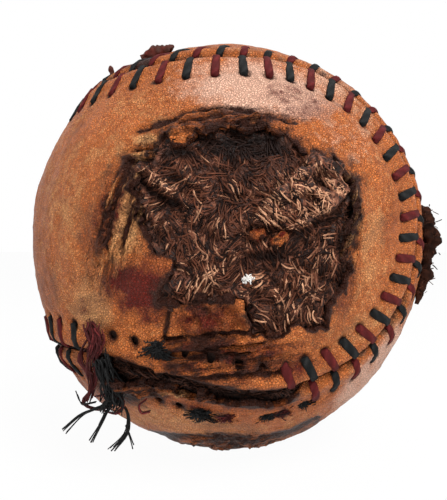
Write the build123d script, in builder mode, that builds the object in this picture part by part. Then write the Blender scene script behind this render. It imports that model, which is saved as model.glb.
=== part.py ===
"""A worn, hand-stitched baseball whose leather cover is torn open at the front.

Frame: origin at the ball's centre, +Z up, -Y towards the torn side. All lengths are millimetres.
"""
from build123d import *
from math import atan2, cos, radians, sin
import os

os.makedirs("parts", exist_ok=True)

# Ball and layers, from the outside in
ball_diameter = 74.0
cover_thickness = 1.3
finish_winding_thickness = 0.5
third_winding_thickness = 2.3
second_winding_thickness = 1.8
outer_rubber_thickness = 2.4
inner_rubber_thickness = 4.0
cork_diameter = 20.6
washer_thickness = 0.8
layer_clearance = 0.1

# Seam: four arcs, two about the lobes of each figure-eight panel
seam_gap = 1.0
lobe_dip_angle = -8.0
front_lobe_direction_share = (0.0871, -0.979, 0.1846)
front_waist_direction_share = (-0.9931, -0.0707, 0.0934)
wall_inner_share = 0.6
wall_outer_share = 1.3

# Stitches
stitches_per_arc = 23
thread_height = 0.5
thread_breadth = 1.3
thread_depth = 0.7
thread_clearance = 0.16
hole_inset = 5.5
front_lean = 0.2
rear_lean = 1.6
leg_stagger = 1.7
corner_share = 0.35

# Torn mouth in the front panel, as shares of the ball's radius seen from the front
tear_shares = (
    (-0.36, 0.4), (-0.2, 0.44), (0.05, 0.46), (0.3, 0.42), (0.47, 0.3), (0.52, 0.08), (0.49, -0.12),
    (0.42, -0.28), (0.28, -0.36), (0.14, -0.35), (0.09, -0.24), (-0.06, -0.23), (-0.2, -0.25),
    (-0.24, -0.14), (-0.22, 0.0), (-0.34, 0.1), (-0.42, 0.26),
)
tear_front_share = 1.4
tear_back_share = 0.55

# Matted wool that stands up through the tear
wool_rise = 0.6
wool_inset = 0.9

# Cut thread ends, and what hangs loose at the rim; directions are shares along X, Y and Z
stub_length = 1.6
rim_clearance = 0.3
tip_share = 0.4
fibre_tuft_direction_share = (0.955, -0.29, -0.05)
fibre_tuft_length = 3.6
fibre_tuft_width = 14.0
fibre_tuft_thickness = 3.0
top_flap_direction_share = (-0.38, -0.2, 0.9)
top_flap_length = 2.4
top_flap_width = 5.5
top_flap_thickness = 1.2
hank_direction_share = (-0.55, -0.7, -0.42)
hank_diameter = 2.6
hank_length = 11.0
frayed_root_direction_share = (-0.53, -0.6, -0.6)
frayed_end_direction_share = (-0.33, -0.12, -0.93)
frayed_root_size = 3.0
frayed_tip_width = 8.0
frayed_tip_thickness = 2.0
frayed_end_length = 7.5

ball_radius = ball_diameter / 2
cover_inner_radius = ball_radius - cover_thickness
finish_radius = cover_inner_radius - layer_clearance
third_radius = finish_radius - finish_winding_thickness - layer_clearance
second_radius = third_radius - third_winding_thickness - layer_clearance
first_radius = second_radius - second_winding_thickness - layer_clearance
cork_radius = cork_diameter / 2
cup_inner_radius = cork_radius + layer_clearance
cup_outer_radius = cup_inner_radius + inner_rubber_thickness
outer_rubber_inner_radius = cup_outer_radius + layer_clearance
outer_rubber_radius = outer_rubber_inner_radius + outer_rubber_thickness
first_inner_radius = outer_rubber_radius + layer_clearance

# Seam layout: lobe axes in order round the loop, and the radius of each lobe's arc
seam_frame = Plane((0, 0, 0), x_dir=front_lobe_direction_share, z_dir=front_waist_direction_share)
dip = radians(lobe_dip_angle)
waist = seam_frame.z_dir
lobe_axes = [
    (seam_frame.x_dir * cos(dip) + waist * sin(dip)).normalized(),
    (seam_frame.y_dir * -cos(dip) - waist * sin(dip)).normalized(),
    (seam_frame.x_dir * -cos(dip) + waist * sin(dip)).normalized(),
    (seam_frame.y_dir * cos(dip) - waist * sin(dip)).normalized(),
]
lobe_spread = radians(lobe_axes[0].get_angle(lobe_axes[1]))
FRONT, REAR = 1, -1


def lobe_owner(lobe):
    """The panel that a lobe belongs to."""
    return FRONT if lobe % 2 == 0 else REAR


def lobe_reach(lobe, shift):
    """Angular radius of a lobe's arc, with the seam shifted by an angle into the front panel."""
    return lobe_spread / 2 - shift * lobe_owner(lobe)


def join_direction(lobe, shift):
    """Direction where a lobe's arc meets the next lobe's arc."""
    reach = lobe_reach(lobe, shift)
    here, ahead = lobe_axes[lobe % 4], lobe_axes[(lobe + 1) % 4]
    return (here * sin(lobe_spread - reach) + ahead * sin(reach)).normalized()


def lobe_cross(lobe):
    """The unit directions across a lobe's axis: towards its panel's waist, and sideways."""
    axis = lobe_axes[lobe]
    own_waist = waist * lobe_owner(lobe)
    inward = (own_waist - axis * own_waist.dot(axis)).normalized()
    return inward, axis.cross(inward)


def lobe_half_angle(lobe):
    """Half the angle of a lobe's circle that the arc leaves open towards its waist."""
    inward, sideways = lobe_cross(lobe)
    join = join_direction(lobe, 0)
    return atan2(abs(join.dot(sideways)), join.dot(inward))


def seam_direction(lobe, station, shift):
    """Direction of a place on a lobe's arc; station runs from 0 to 1 along it."""
    inward, sideways = lobe_cross(lobe)
    start_side = 1 if join_direction(lobe - 1, 0).dot(sideways) > 0 else -1
    opening = lobe_half_angle(lobe)
    turn = start_side * (opening + (2 * radians(180) - 2 * opening) * station)
    reach = lobe_reach(lobe, shift)
    return lobe_axes[lobe] * cos(reach) + (inward * cos(turn) + sideways * sin(turn)) * sin(reach)


def seam_arc(lobe, shift, radius):
    """One arc of the seam on a sphere of the given radius."""
    start = join_direction(lobe - 1, shift) * radius
    end = join_direction(lobe, shift) * radius
    far = seam_direction(lobe, 0.5, shift) * radius
    return Edge.make_three_point_arc(start, far, end)


def seam_wall(shift):
    """The cone-shaped wall that divides the cover along the seam."""
    inner, outer = wall_inner_share * ball_radius, wall_outer_share * ball_radius
    faces = [
        Face.make_surface_from_curves(seam_arc(lobe, shift, inner), seam_arc(lobe, shift, outer))
        for lobe in range(4)
    ]
    return Shell(faces)


def slot_plane(direction, towards):
    """A plane on the ball's surface, facing out, with its x axis towards another direction."""
    along = (towards - direction * towards.dot(direction)).normalized()
    return Plane(direction * ball_radius, x_dir=along, z_dir=direction)


arc_length = ball_radius * sin(lobe_spread / 2) * (2 * radians(180) - 2 * lobe_half_angle(0))
inset_angle = hole_inset / ball_radius
gap_angle = seam_gap / 2 / ball_radius
lean_station = {FRONT: -front_lean / arc_length, REAR: (rear_lean + leg_stagger) / arc_length}
apex_station = {FRONT: 0.0, REAR: leg_stagger / arc_length}


def leg_ends(panel, lobe, stitch):
    """Directions of a stitch leg's awl hole and of its apex in the seam."""
    station = (stitch + 0.5) / stitches_per_arc
    hole = seam_direction(lobe, station + lean_station[panel], panel * inset_angle)
    apex = seam_direction(lobe, station + apex_station[panel], 0)
    return hole, apex


# Which legs are whole: the seam is open along the lower front, with some cut ends left in it
open_front_legs = [(0, 21), (0, 22)] + [(1, stitch) for stitch in range(6)]
cut_front_legs = [(1, 2)]
cut_rear_legs = [(0, 20), (0, 21), (0, 22), (1, 0), (1, 1)]
open_rear_legs = cut_rear_legs + [(1, 2), (1, 3), (1, 4)]
open_legs = {FRONT: open_front_legs, REAR: open_rear_legs}
cut_legs = {FRONT: cut_front_legs, REAR: cut_rear_legs}


def is_red(panel, lobe, stitch):
    """Colours alternate along the seam, and change over from one panel to the other."""
    count = lobe * stitches_per_arc + stitch
    return (count % 2 == 0) == (panel == FRONT)


def whole_legs(panel, red):
    """The sound stitch legs of one colour on one panel."""
    return [
        leg_ends(panel, lobe, stitch)
        for lobe in range(4)
        for stitch in range(stitches_per_arc)
        if is_red(panel, lobe, stitch) == red and (lobe, stitch) not in open_legs[panel]
    ]


def cut_ends(red):
    """The cut ends of one colour, on both panels."""
    return [
        leg_ends(panel, lobe, stitch)
        for panel in (FRONT, REAR)
        for lobe, stitch in cut_legs[panel]
        if is_red(panel, lobe, stitch) == red
    ]


def leg_outline(length):
    """Outline of a stitch leg from its awl hole to its apex, as seen from the side."""
    half = thread_height / 2
    top = thread_clearance + thread_height
    shoulder = top * (1 - corner_share)
    return [
        (-half, -thread_depth), (-half, shoulder), (half, top), (length - half, top),
        (length + half, shoulder), (length + half, -thread_depth), (length - half, -thread_depth),
        (length - half, thread_clearance), (half, thread_clearance), (half, -thread_depth),
    ]


def leg_plane(hole, apex):
    """The upright plane of a stitch leg: x from the hole to the apex, y out of the ball."""
    along = (apex - hole).normalized()
    out = (apex + hole).normalized()
    return Plane(hole * ball_radius, x_dir=along, z_dir=along.cross(out))


def slot_places(panel):
    """The awl holes of one panel."""
    ends = [leg_ends(panel, lobe, stitch) for lobe in range(4) for stitch in range(stitches_per_arc)]
    return [slot_plane(hole, apex) for hole, apex in ends]


slot_size = thread_height + 2 * thread_clearance
slot_breadth = thread_breadth + 2 * thread_clearance
slot_depth = 3 * cover_thickness

# Core: cork ball in two rubber cups with a washer between their rims
with BuildPart() as cork_core:
    Sphere(cork_radius)

with BuildPart() as upper_rubber_cup:
    Sphere(cup_outer_radius)
    Sphere(cup_inner_radius, mode=Mode.SUBTRACT)
    split(bisect_by=Plane.XY.offset(washer_thickness / 2), keep=Keep.TOP)

with BuildPart() as lower_rubber_cup:
    Sphere(cup_outer_radius)
    Sphere(cup_inner_radius, mode=Mode.SUBTRACT)
    split(bisect_by=Plane.XY.offset(-washer_thickness / 2), keep=Keep.BOTTOM)

with BuildPart() as cup_washer:
    with BuildSketch():
        Circle(cup_outer_radius)
        Circle(cup_inner_radius, mode=Mode.SUBTRACT)
    extrude(amount=washer_thickness / 2 - layer_clearance / 4, both=True)

with BuildPart() as outer_rubber_layer:
    Sphere(outer_rubber_radius)
    Sphere(outer_rubber_inner_radius, mode=Mode.SUBTRACT)


def winding_shell(outer, inner):
    """One layer of yarn, wound all round the layer inside it."""
    with BuildPart() as layer:
        Sphere(outer)
        Sphere(inner, mode=Mode.SUBTRACT)
    return layer


first_winding = winding_shell(first_radius, first_inner_radius)
second_winding = winding_shell(second_radius, first_radius + layer_clearance)
third_winding = winding_shell(third_radius, second_radius + layer_clearance)
finish_winding = winding_shell(finish_radius, third_radius + layer_clearance)

# The torn mouth, as a prism that runs in from the front
tear_points = [Vector(x, z) * ball_radius for x, z in tear_shares]
tear_base = Plane.XZ.offset(tear_back_share * ball_radius)
tear_length = (tear_front_share - tear_back_share) * ball_radius


def inset_points(points, amount):
    """The points of a clockwise outline, each moved inwards by an amount."""
    moved = []
    for before, point, after in zip(points[-1:] + points[:-1], points, points[1:] + points[:1]):
        along = (after - before).normalized()
        moved.append(point + Vector(along.Y, -along.X) * amount)
    return moved


with BuildPart() as tear_prism:
    with BuildSketch(tear_base):
        with BuildLine():
            Spline(*tear_points, periodic=True)
        make_face()
    extrude(amount=tear_length)

# Cover panels: two figure-eights of leather, pierced along their edges
panels = {}
for panel, panel_lobe in ((FRONT, 0), (REAR, 1)):
    with BuildPart() as cover_panel:
        Sphere(ball_radius)
        Sphere(cover_inner_radius, mode=Mode.SUBTRACT)
        split(bisect_by=seam_wall(panel * gap_angle), keep=Keep.ALL)
        inside = cover_panel.solids().sort_by_distance(lobe_axes[panel_lobe] * ball_radius)[0]
        add(inside, mode=Mode.REPLACE)
        with Locations(*slot_places(panel)):
            Box(slot_size, slot_breadth, slot_depth, mode=Mode.SUBTRACT)
        if panel == FRONT:
            add(tear_prism.part, mode=Mode.SUBTRACT)
    panels[panel] = cover_panel
front_cover_panel, rear_cover_panel = panels[FRONT], panels[REAR]

# Matted wool: a pad that lies on the winding and fills the tear
with BuildPart() as matted_wool:
    Sphere(ball_radius + wool_rise)
    Sphere(cover_inner_radius, mode=Mode.SUBTRACT)
    with BuildSketch(tear_base):
        with BuildLine():
            Spline(*inset_points(tear_points, wool_inset), periodic=True)
        make_face()
    extrude(amount=tear_length, mode=Mode.INTERSECT)


def stitch_group(legs):
    """A group of separate stitch legs, each a bar bent down into the cover at both ends."""
    with BuildPart() as group:
        for hole, apex in legs:
            length = ((apex - hole) * ball_radius).length
            with BuildSketch(leg_plane(hole, apex)):
                with BuildLine():
                    Polyline(*leg_outline(length), close=True)
                make_face()
        extrude(amount=thread_breadth / 2, both=True)
    return group


def stub_group(legs):
    """A group of cut thread ends, each standing in its awl hole."""
    with BuildPart() as group:
        for hole, apex in legs:
            base = Plane(hole * (ball_radius - thread_depth), x_dir=apex - hole, z_dir=hole)
            with BuildSketch(base):
                Rectangle(thread_height, thread_breadth)
        extrude(amount=thread_depth + stub_length)
    return group


front_red_stitches = stitch_group(whole_legs(FRONT, True))
front_black_stitches = stitch_group(whole_legs(FRONT, False))
rear_red_stitches = stitch_group(whole_legs(REAR, True))
rear_black_stitches = stitch_group(whole_legs(REAR, False))
red_thread_stubs = stub_group(cut_ends(True))
black_thread_stubs = stub_group(cut_ends(False))


def rim_tuft(direction_share, size, length):
    """A tapering tuft that stands out of the cover's surface; its size is across and along Z."""
    out = Vector(direction_share).normalized()
    base = Plane(out * (ball_radius + rim_clearance), x_dir=Vector(0, 0, 1).cross(out), z_dir=out)
    with BuildPart() as tuft:
        with BuildSketch(base):
            Ellipse(size[0] / 2, size[1] / 2)
        with BuildSketch(base.offset(length)):
            Ellipse(size[0] / 2 * tip_share, size[1] / 2 * tip_share)
        loft()
    return tuft


fibre_tuft_size = (fibre_tuft_thickness, fibre_tuft_width)
top_flap_size = (top_flap_width, top_flap_thickness)
side_fibre_tuft = rim_tuft(fibre_tuft_direction_share, fibre_tuft_size, fibre_tuft_length)
top_leather_flap = rim_tuft(top_flap_direction_share, top_flap_size, top_flap_length)

# Loose threads at the lower left: a red hank that hangs against the cover, and a frayed black end
hank_out = Vector(hank_direction_share).normalized()
hank_top = hank_out * (ball_radius + hank_diameter / 2 + rim_clearance)
with BuildPart() as red_thread_hank:
    with BuildSketch(Plane(hank_top, z_dir=(0, 0, -1))):
        Circle(hank_diameter / 2)
    extrude(amount=hank_length)
    chamfer(red_thread_hank.edges(), hank_diameter / 4)

frayed_out = Vector(frayed_root_direction_share).normalized()
frayed_plane = Plane(
    frayed_out * (ball_radius + frayed_root_size / 2 + rim_clearance),
    x_dir=(1, 0, 0),
    z_dir=frayed_end_direction_share,
)
with BuildPart() as frayed_black_end:
    with BuildSketch(frayed_plane):
        Circle(frayed_root_size / 2)
    with BuildSketch(frayed_plane.offset(frayed_end_length)):
        Ellipse(frayed_tip_width / 2, frayed_tip_thickness / 2)
    loft()

# Export, one file for each piece
pieces = {
    "cork_core": cork_core,
    "upper_rubber_cup": upper_rubber_cup,
    "lower_rubber_cup": lower_rubber_cup,
    "cup_washer": cup_washer,
    "outer_rubber_layer": outer_rubber_layer,
    "first_winding": first_winding,
    "second_winding": second_winding,
    "third_winding": third_winding,
    "finish_winding": finish_winding,
    "matted_wool": matted_wool,
    "front_cover_panel": front_cover_panel,
    "rear_cover_panel": rear_cover_panel,
    "front_red_stitches": front_red_stitches,
    "front_black_stitches": front_black_stitches,
    "rear_red_stitches": rear_red_stitches,
    "rear_black_stitches": rear_black_stitches,
    "red_thread_stubs": red_thread_stubs,
    "black_thread_stubs": black_thread_stubs,
    "side_fibre_tuft": side_fibre_tuft,
    "top_leather_flap": top_leather_flap,
    "red_thread_hank": red_thread_hank,
    "frayed_black_end": frayed_black_end,
}
for name, piece in pieces.items():
    piece.part.label = name
    export_step(piece.part, f"parts/{name}.step")
    print(name, len(piece.solids()), "solids")
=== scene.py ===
"""Dresses a worn, torn baseball: leather panels, stitches, matted wool and loose threads.

Lengths in the functions are millimetres; meshes are written in metres. Places that follow the
photograph are pixels of its 447 by 500 frame, laid onto the ball through the same camera.
"""
import math

import bmesh
import bpy
import numpy as np
from bpy.props import FloatProperty, FloatVectorProperty, IntProperty, PointerProperty
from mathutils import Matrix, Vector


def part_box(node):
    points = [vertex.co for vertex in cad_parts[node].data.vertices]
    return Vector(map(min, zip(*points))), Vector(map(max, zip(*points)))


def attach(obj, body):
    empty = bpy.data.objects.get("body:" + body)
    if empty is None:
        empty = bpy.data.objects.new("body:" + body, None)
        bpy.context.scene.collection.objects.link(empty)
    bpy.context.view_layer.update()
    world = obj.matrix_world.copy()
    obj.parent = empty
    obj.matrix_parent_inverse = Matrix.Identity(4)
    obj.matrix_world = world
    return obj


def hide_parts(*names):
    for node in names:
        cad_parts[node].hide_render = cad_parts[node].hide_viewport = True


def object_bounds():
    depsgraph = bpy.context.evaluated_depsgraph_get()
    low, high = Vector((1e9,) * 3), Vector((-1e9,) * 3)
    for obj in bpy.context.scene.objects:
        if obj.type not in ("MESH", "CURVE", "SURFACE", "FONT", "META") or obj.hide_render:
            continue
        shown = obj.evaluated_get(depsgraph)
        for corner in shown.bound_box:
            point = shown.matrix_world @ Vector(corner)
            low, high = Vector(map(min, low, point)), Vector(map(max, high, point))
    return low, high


bl_info = {
    "name": "Worn baseball",
    "version": (1, 0, 0),
    "blender": (4, 5, 0),
    "location": "View3D > Sidebar > Baseball",
    "description": "Dresses the torn, hand-stitched ball in leather, thread and wool",
    "category": "Object",
}

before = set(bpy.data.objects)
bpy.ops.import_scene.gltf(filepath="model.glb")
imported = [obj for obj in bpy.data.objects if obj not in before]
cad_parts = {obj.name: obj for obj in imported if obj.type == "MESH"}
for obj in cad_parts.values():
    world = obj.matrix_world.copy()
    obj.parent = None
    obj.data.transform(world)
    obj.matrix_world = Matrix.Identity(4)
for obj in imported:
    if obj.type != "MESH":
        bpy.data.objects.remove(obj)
cad_box = [list(corner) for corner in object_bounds()]

# Ball and camera
MM = 0.001
rear_low, rear_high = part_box("rear_cover_panel")
BALL = (rear_high[2] - rear_low[2]) / 2 / MM
IMAGE_SIZE = (447, 500)
BALL_CENTRE_PX = (226.1, 244.2)
BALL_RIM_PX = 199.5
CAMERA_DISTANCE = 3.33 * BALL
FOCAL_PX = BALL_RIM_PX * math.sqrt(CAMERA_DISTANCE ** 2 - BALL ** 2) / BALL
PX_PER_MM = FOCAL_PX / (CAMERA_DISTANCE - 0.85 * BALL)

# World light off the camera's rays, and lamps: name, place and size in metres, and power in watts
PLAIN_WORLD = 0.28
LAMPS = (
    ("key", (0.18, -0.4, 0.4), 0.26, 4.2),
    ("fill", (-0.22, -0.52, -0.08), 0.4, 2.0),
    ("top", (0.05, 0.05, 0.5), 0.4, 0.7),
)

# Seam, as the part's own layout gives it
FRONT, REAR = 1, -1
LOBE_DIRECTION = (0.0871, -0.979, 0.1846)
WAIST_DIRECTION = (-0.9931, -0.0707, 0.0934)
LOBE_DIP = math.radians(-8.0)
STITCHES_PER_ARC = 23
SEAM_HALF_GAP = 0.3
APEX_INSET = 0.25
LEG_STAGGER = 0.4

# A stitch leg from its hole to its apex: places along it, height over the skin, and half width
LEG_SHARES = np.array([-0.01, 0.03, 0.2, 0.5, 0.8, 0.95, 0.99])
LEG_RISE = np.array([-0.6, 0.05, 0.14, 0.08, 0.1, 0.15, -0.5])
LEG_HALF_WIDTHS = np.array([0.5, 0.66, 0.72, 0.68, 0.66, 0.6, 0.48])

# The pulled cover has dragged the awl holes: by place round the seam, in quarters, how far each
# panel's holes stand back along it from their apexes, and how far in from it
LEANS = {
    FRONT: (
        (0, 0.4), (0.22, -1.0), (0.45, -1.9), (0.9, -2.0), (1.02, -1.6), (1.12, -0.4),
        (1.3, 0.3), (3, 0.3), (3.5, 1.0), (4, 0.4),
    ),
    REAR: (
        (0, -1.8), (0.3, -1.2), (0.6, -0.6), (0.76, -0.3), (0.804, 0), (0.848, 1.0),
        (0.891, 3.3), (0.935, 4.0), (0.978, 5.6), (1.022, 5.0), (1.065, 3.8), (1.109, 3.3),
        (1.152, 3.0), (1.196, 1.9), (1.3, -1.6), (3, -1.6), (4, -1.8),
    ),
}
INSETS = {
    FRONT: (
        (0, 6.0), (0.22, 6.8), (0.45, 6.2), (0.9, 5.0), (1.05, 4.4), (1.2, 4.2),
        (1.35, 5.5), (3, 5.5), (3.5, 6.0), (4, 6.0),
    ),
    REAR: (
        (0, 5.5), (0.8, 5.0), (0.88, 5.6), (0.95, 6.6), (1.05, 7.4), (1.2, 7.4),
        (1.35, 5.5), (4, 5.5),
    ),
}
OPEN_FRONT_LEGS = [(0, 21), (0, 22)] + [(1, stitch) for stitch in range(6)]
CUT_FRONT_LEGS = [(1, 2)]
CUT_REAR_LEGS = [(0, 20), (0, 21), (0, 22), (1, 0), (1, 1)]
OPEN_REAR_LEGS = CUT_REAR_LEGS + [(1, 2), (1, 3), (1, 4)]
BIG_TUFT_LEGS = [(FRONT, 1, 2), (REAR, 1, 1)]

# The torn mouth's outline, clockwise from its left tip
TEAR_PX = [
    (131, 165), (150, 160), (153, 147), (163, 141), (185, 139), (205, 136), (222, 131), (240, 128),
    (262, 131), (285, 138), (303, 148), (318, 152), (340, 166), (350, 182), (353, 210), (351, 240),
    (349, 262), (346, 288), (337, 300), (329, 312), (326, 326), (312, 330), (296, 326), (284, 341),
    (262, 338), (252, 332), (250, 320), (243, 301), (230, 300), (193, 304), (172, 309), (161, 302),
    (163, 290), (172, 274), (172, 262), (158, 250), (148, 235), (140, 212), (136, 190),
]

# The mouth lies further forward than this, in a direction's Y
MOUTH_LIMIT_Y = -0.3

# A scrap of the cover that still lies across the mouth's foot, and the oval of its worn middle
SCRAP_PX = [(170, 309), (193, 304), (243, 301), (251, 325), (248, 332), (201, 337), (164, 340)]
SCRAP_MIDDLE_PX = ((208, 320), (48, 20))

# In the mouth: a raised mound of wool, a flap's ridge with a slit under it, a groove at the right, and
# an oval, with its turn in degrees, where the fibres stand upright
MOUND_PX = [
    (246, 226), (257, 209), (284, 178), (312, 151), (340, 167), (348, 192), (340, 206), (296, 231),
    (270, 228),
]
WOOL_RIDGE_PX = [(140, 166), (160, 180), (184, 201)]
WOOL_SLIT_PX = [(136, 176), (152, 193), (179, 205)]
WOOL_GROOVE_PX = [(340, 235), (343, 280), (330, 304)]
UPRIGHT_WOOL_PX = ((318, 278), (36, 62), 8)

# Creases and raised folds in the leather round the mouth
GROOVE_LINES_PX = [
    [(138, 130), (173, 121), (184, 112), (223, 107), (259, 114), (296, 123)],
    [(181, 124), (209, 119), (234, 116)],
    [(134, 149), (162, 148)],
    [(129, 162), (162, 160)],
    [(128, 170), (112, 205), (104, 248)],
    [(118, 172), (106, 200), (98, 236)],
    [(139, 200), (126, 226), (119, 252)],
    [(163, 341), (210, 338), (254, 333)],
    [(205, 351), (240, 346), (275, 339)],
    [(160, 353), (200, 356), (250, 353)],
    [(150, 370), (200, 371), (286, 372)],
]
RIDGE_LINES_PX = [
    [(164, 137), (195, 128), (229, 119)],
    [(242, 122), (262, 122)],
    [(134, 156), (150, 155)],
    [(122, 170), (109, 203), (101, 243)],
    [(133, 184), (120, 215), (112, 250)],
    [(160, 347), (205, 345), (262, 337)],
    [(160, 364), (215, 366), (280, 364)],
]

# Cracks at the foot of the ball
BOTTOM_LINES_PX = [
    [(150, 431), (178, 435), (205, 436), (240, 441)],
    [(186, 441), (222, 447), (262, 446)],
    [(215, 434), (255, 437), (292, 429), (318, 418)],
]

# Stains, painted highlights and fibrous folds, as soft ovals: centre, half lengths, turn in degrees and
# strength
# Some pale ovals are painted highlights: the one over the upper left, the two small ones at the mouth's upper
# left tip, and the narrow one at its right edge.
PALE_PX = [
    ((118, 122), (44, 30), 0, 0.2), ((62, 225), (30, 60), 0, 0.3), ((146, 139), (16, 7), -10, 0.95),
    ((140, 155), (14, 4), 0, 0.9), ((128, 222), (58, 16), 108, 0.75), ((251, 122), (10, 5), 0, 0.9),
    ((354, 218), (5, 28), 0, 0.8), ((92, 305), (30, 34), 0, 0.6), ((360, 330), (40, 16), -40, 0.4),
    ((372, 245), (16, 70), 0, 0.45),
]
REAR_PALE_PX = [((190, 422), (90, 16), 8, 0.5), ((205, 394), (60, 3), 2, 0.9)]
# The large scuff oval at the top of the ball is a painted sheen.
SCUFF_AND_SHEEN_PX = [((262, 90), (90, 32), 6, 1.0), ((345, 140), (35, 50), 30, 0.25)]
FRONT_RUST_PX = [
    ((134, 288), (44, 32), 0, 0.85), ((155, 265), (26, 18), 0, 0.55), ((150, 312), (24, 20), 0, 0.6),
    ((112, 205), (22, 55), 20, 0.55), ((205, 320), (52, 24), 0, 0.58), ((228, 123), (80, 13), -4, 0.55),
    ((222, 351), (94, 17), 0, 0.75), ((270, 362), (80, 18), 0, 0.5), ((345, 290), (14, 40), 10, 0.45),
    ((90, 240), (20, 22), 0, 0.4), ((80, 308), (14, 12), 0, 0.2), ((300, 100), (50, 18), 15, 0.3),
]
REAR_SOIL_PX = [((125, 383), (44, 22), 20, 0.85), ((146, 65), (20, 4), -22, 0.6)]
FOLDS_ACROSS_PX = {
    FRONT: [((222, 124), (86, 19), -4, 1.0), ((222, 355), (94, 20), 0, 1.0), ((146, 152), (24, 14), 0, 0.8)],
    REAR: [((200, 393), (80, 6), 2, 1.0), ((235, 441), (72, 12), 0, 1.0), ((128, 380), (42, 16), 20, 1.0)],
}
FOLDS_DOWN_PX = {
    FRONT: [((121, 222), (84, 30), 108, 1.0), ((353, 230), (75, 8), 88, 1.0),
            ((208, 320), (44, 16), 0, 0.25)],
    REAR: [],
}

# Lumpy rolls, as pixels with a half width in pixels at each
LEFT_CRUMB_PX = [(250, 238, 2), (254, 235, 5), (260, 234, 6), (264, 238, 3)]
RIGHT_CRUMB_PX = [(271, 243, 2), (276, 240, 5), (283, 238, 6), (288, 240, 3)]
RIM_TUFT_PX = [
    (420, 206, 3), (425, 215, 8), (426, 226, 9), (429, 238, 10), (428, 246, 10), (426, 254, 8), (426, 266, 7),
    (424, 279, 6), (420, 291, 4), (416, 304, 2),
]
RIM_SCRAP_PX = [(141, 58, 3), (148, 55, 4.5), (156, 52.5, 6), (164, 50, 7), (170, 49, 5.5), (172, 50, 3)]
RIM_SPIKE_PX = [(116, 82, 4), (113, 76, 3.5), (111, 70, 2.5), (110, 66, 1)]
OPEN_SEAM_PX = [(102, 361), (135, 370), (170, 381), (215, 389), (260, 391), (292, 390)]

# Bundles of loose thread: pixels with their depth, then how many strands, how far apart, and how frayed
RED_BUNDLES = [
    ([(91, 327, -29.5), (94, 338, -30), (93, 354, -29.5)], 44, 0.6, 0.3),
    ([(98, 332, -30.5), (100, 342, -30.5), (97, 354, -29.5)], 16, 0.35, 0.3),
    ([(96, 340, -30), (90, 354, -29), (89, 368, -27), (92, 384, -24.5), (88, 399, -23)], 9, 0.2, 0.35),
    ([(93, 350, -29.5), (96, 370, -27), (94, 387, -24.5), (83, 402, -23), (99, 409, -23), (113, 404, -24)],
     6, 0.18, 0.3),
    ([(86, 340, -29), (80, 352, -27), (84, 366, -26.5), (92, 372, -26.5)], 4, 0.18, 0.3),
    ([(97, 396, -24.5), (113, 394, -25.5), (123, 404, -25), (115, 412, -24), (101, 408, -23.5)],
     4, 0.18, 0.3),
    ([(146, 399, -26.5), (139, 405, -26), (141, 412, -25.5), (149, 410, -25.6)], 3, 0.12, 0.2),
]
BLACK_BUNDLES = [
    ([(103, 360, -29), (108, 380, -27), (112, 394, -25.5), (108, 404, -24.5)], 44, 0.75, 0.7),
    ([(112, 384, -27), (120, 396, -26), (118, 408, -25)], 14, 0.5, 0.7),
    ([(110, 404, -24.5), (96, 408, -24), (80, 416, -23), (64, 431, -22)], 5, 0.16, 0.35),
    ([(110, 406, -24.5), (103, 420, -24), (90, 441, -23)], 3, 0.1, 0.3),
    ([(108, 408, -24.5), (103, 415, -24.5), (98, 424, -24)], 2, 0.1, 0.2),
    ([(118, 402, -25), (127, 412, -24.5), (126, 432, -23.5), (111, 449, -23)], 7, 0.17, 0.3),
    ([(126, 425, -24), (130, 437, -23.5), (133, 447, -23)], 2, 0.06, 0.2),
    ([(96, 402, -24.5), (82, 404, -24), (75, 393, -24)], 2, 0.08, 0.2),
]


def unit(vectors):
    """Vectors scaled to length 1, along their last axis."""
    vectors = np.asarray(vectors, float)
    return vectors / np.linalg.norm(vectors, axis=-1, keepdims=True)


def ripple(points, wavelength, seed, waves=28):
    """Smooth random waves of about one wavelength, with a spread of 1."""
    rng = np.random.default_rng(seed)
    turns = unit(rng.normal(size=(waves, 3))) * (2 * math.pi / wavelength)
    turns *= rng.uniform(0.6, 1.4, (waves, 1))
    return np.cos(points @ turns.T + rng.uniform(0, 2 * math.pi, waves)).sum(1) * math.sqrt(2 / waves)


def ease(low, high, values):
    """0 below low, 1 above high, smooth between."""
    share = np.clip((np.asarray(values, float) - low) / (high - low), 0, 1)
    return share * share * (3 - 2 * share)


def to_pixel(points):
    """Where points in millimetres fall in the photograph's frame."""
    depth = CAMERA_DISTANCE + points[:, 1]
    u = BALL_CENTRE_PX[0] + FOCAL_PX * points[:, 0] / depth
    v = BALL_CENTRE_PX[1] - FOCAL_PX * points[:, 2] / depth
    return np.stack([u, v], 1)


def on_ball(pixels, height=0.0):
    """Points that stand a height above the ball's front, seen at the given pixels."""
    pixels = np.asarray(pixels, float)
    ray = np.stack([
        (pixels[:, 0] - BALL_CENTRE_PX[0]) / FOCAL_PX,
        np.ones(len(pixels)),
        (BALL_CENTRE_PX[1] - pixels[:, 1]) / FOCAL_PX,
    ], 1)
    reach = (BALL + np.broadcast_to(np.asarray(height, float), len(pixels))) ** 2
    a = (ray ** 2).sum(1)
    half_b = -CAMERA_DISTANCE * ray[:, 1]
    inside = np.maximum(half_b ** 2 - a * (CAMERA_DISTANCE ** 2 - reach), 0)
    step = (-half_b - np.sqrt(inside)) / a
    return ray * step[:, None] - np.array([0, CAMERA_DISTANCE, 0])


def faces_camera(directions):
    """1 on the side of the ball that the photograph shows, 0 behind its rim."""
    return ease(-0.22, -0.34, directions[:, 1])


def segment_distance(pixels, start, end):
    """Distance in pixels to the straight line between two points."""
    run = end - start
    share = np.clip(((pixels - start) @ run) / (run @ run), 0, 1)
    return np.hypot(*(pixels - start - share[:, None] * run).T)


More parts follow.
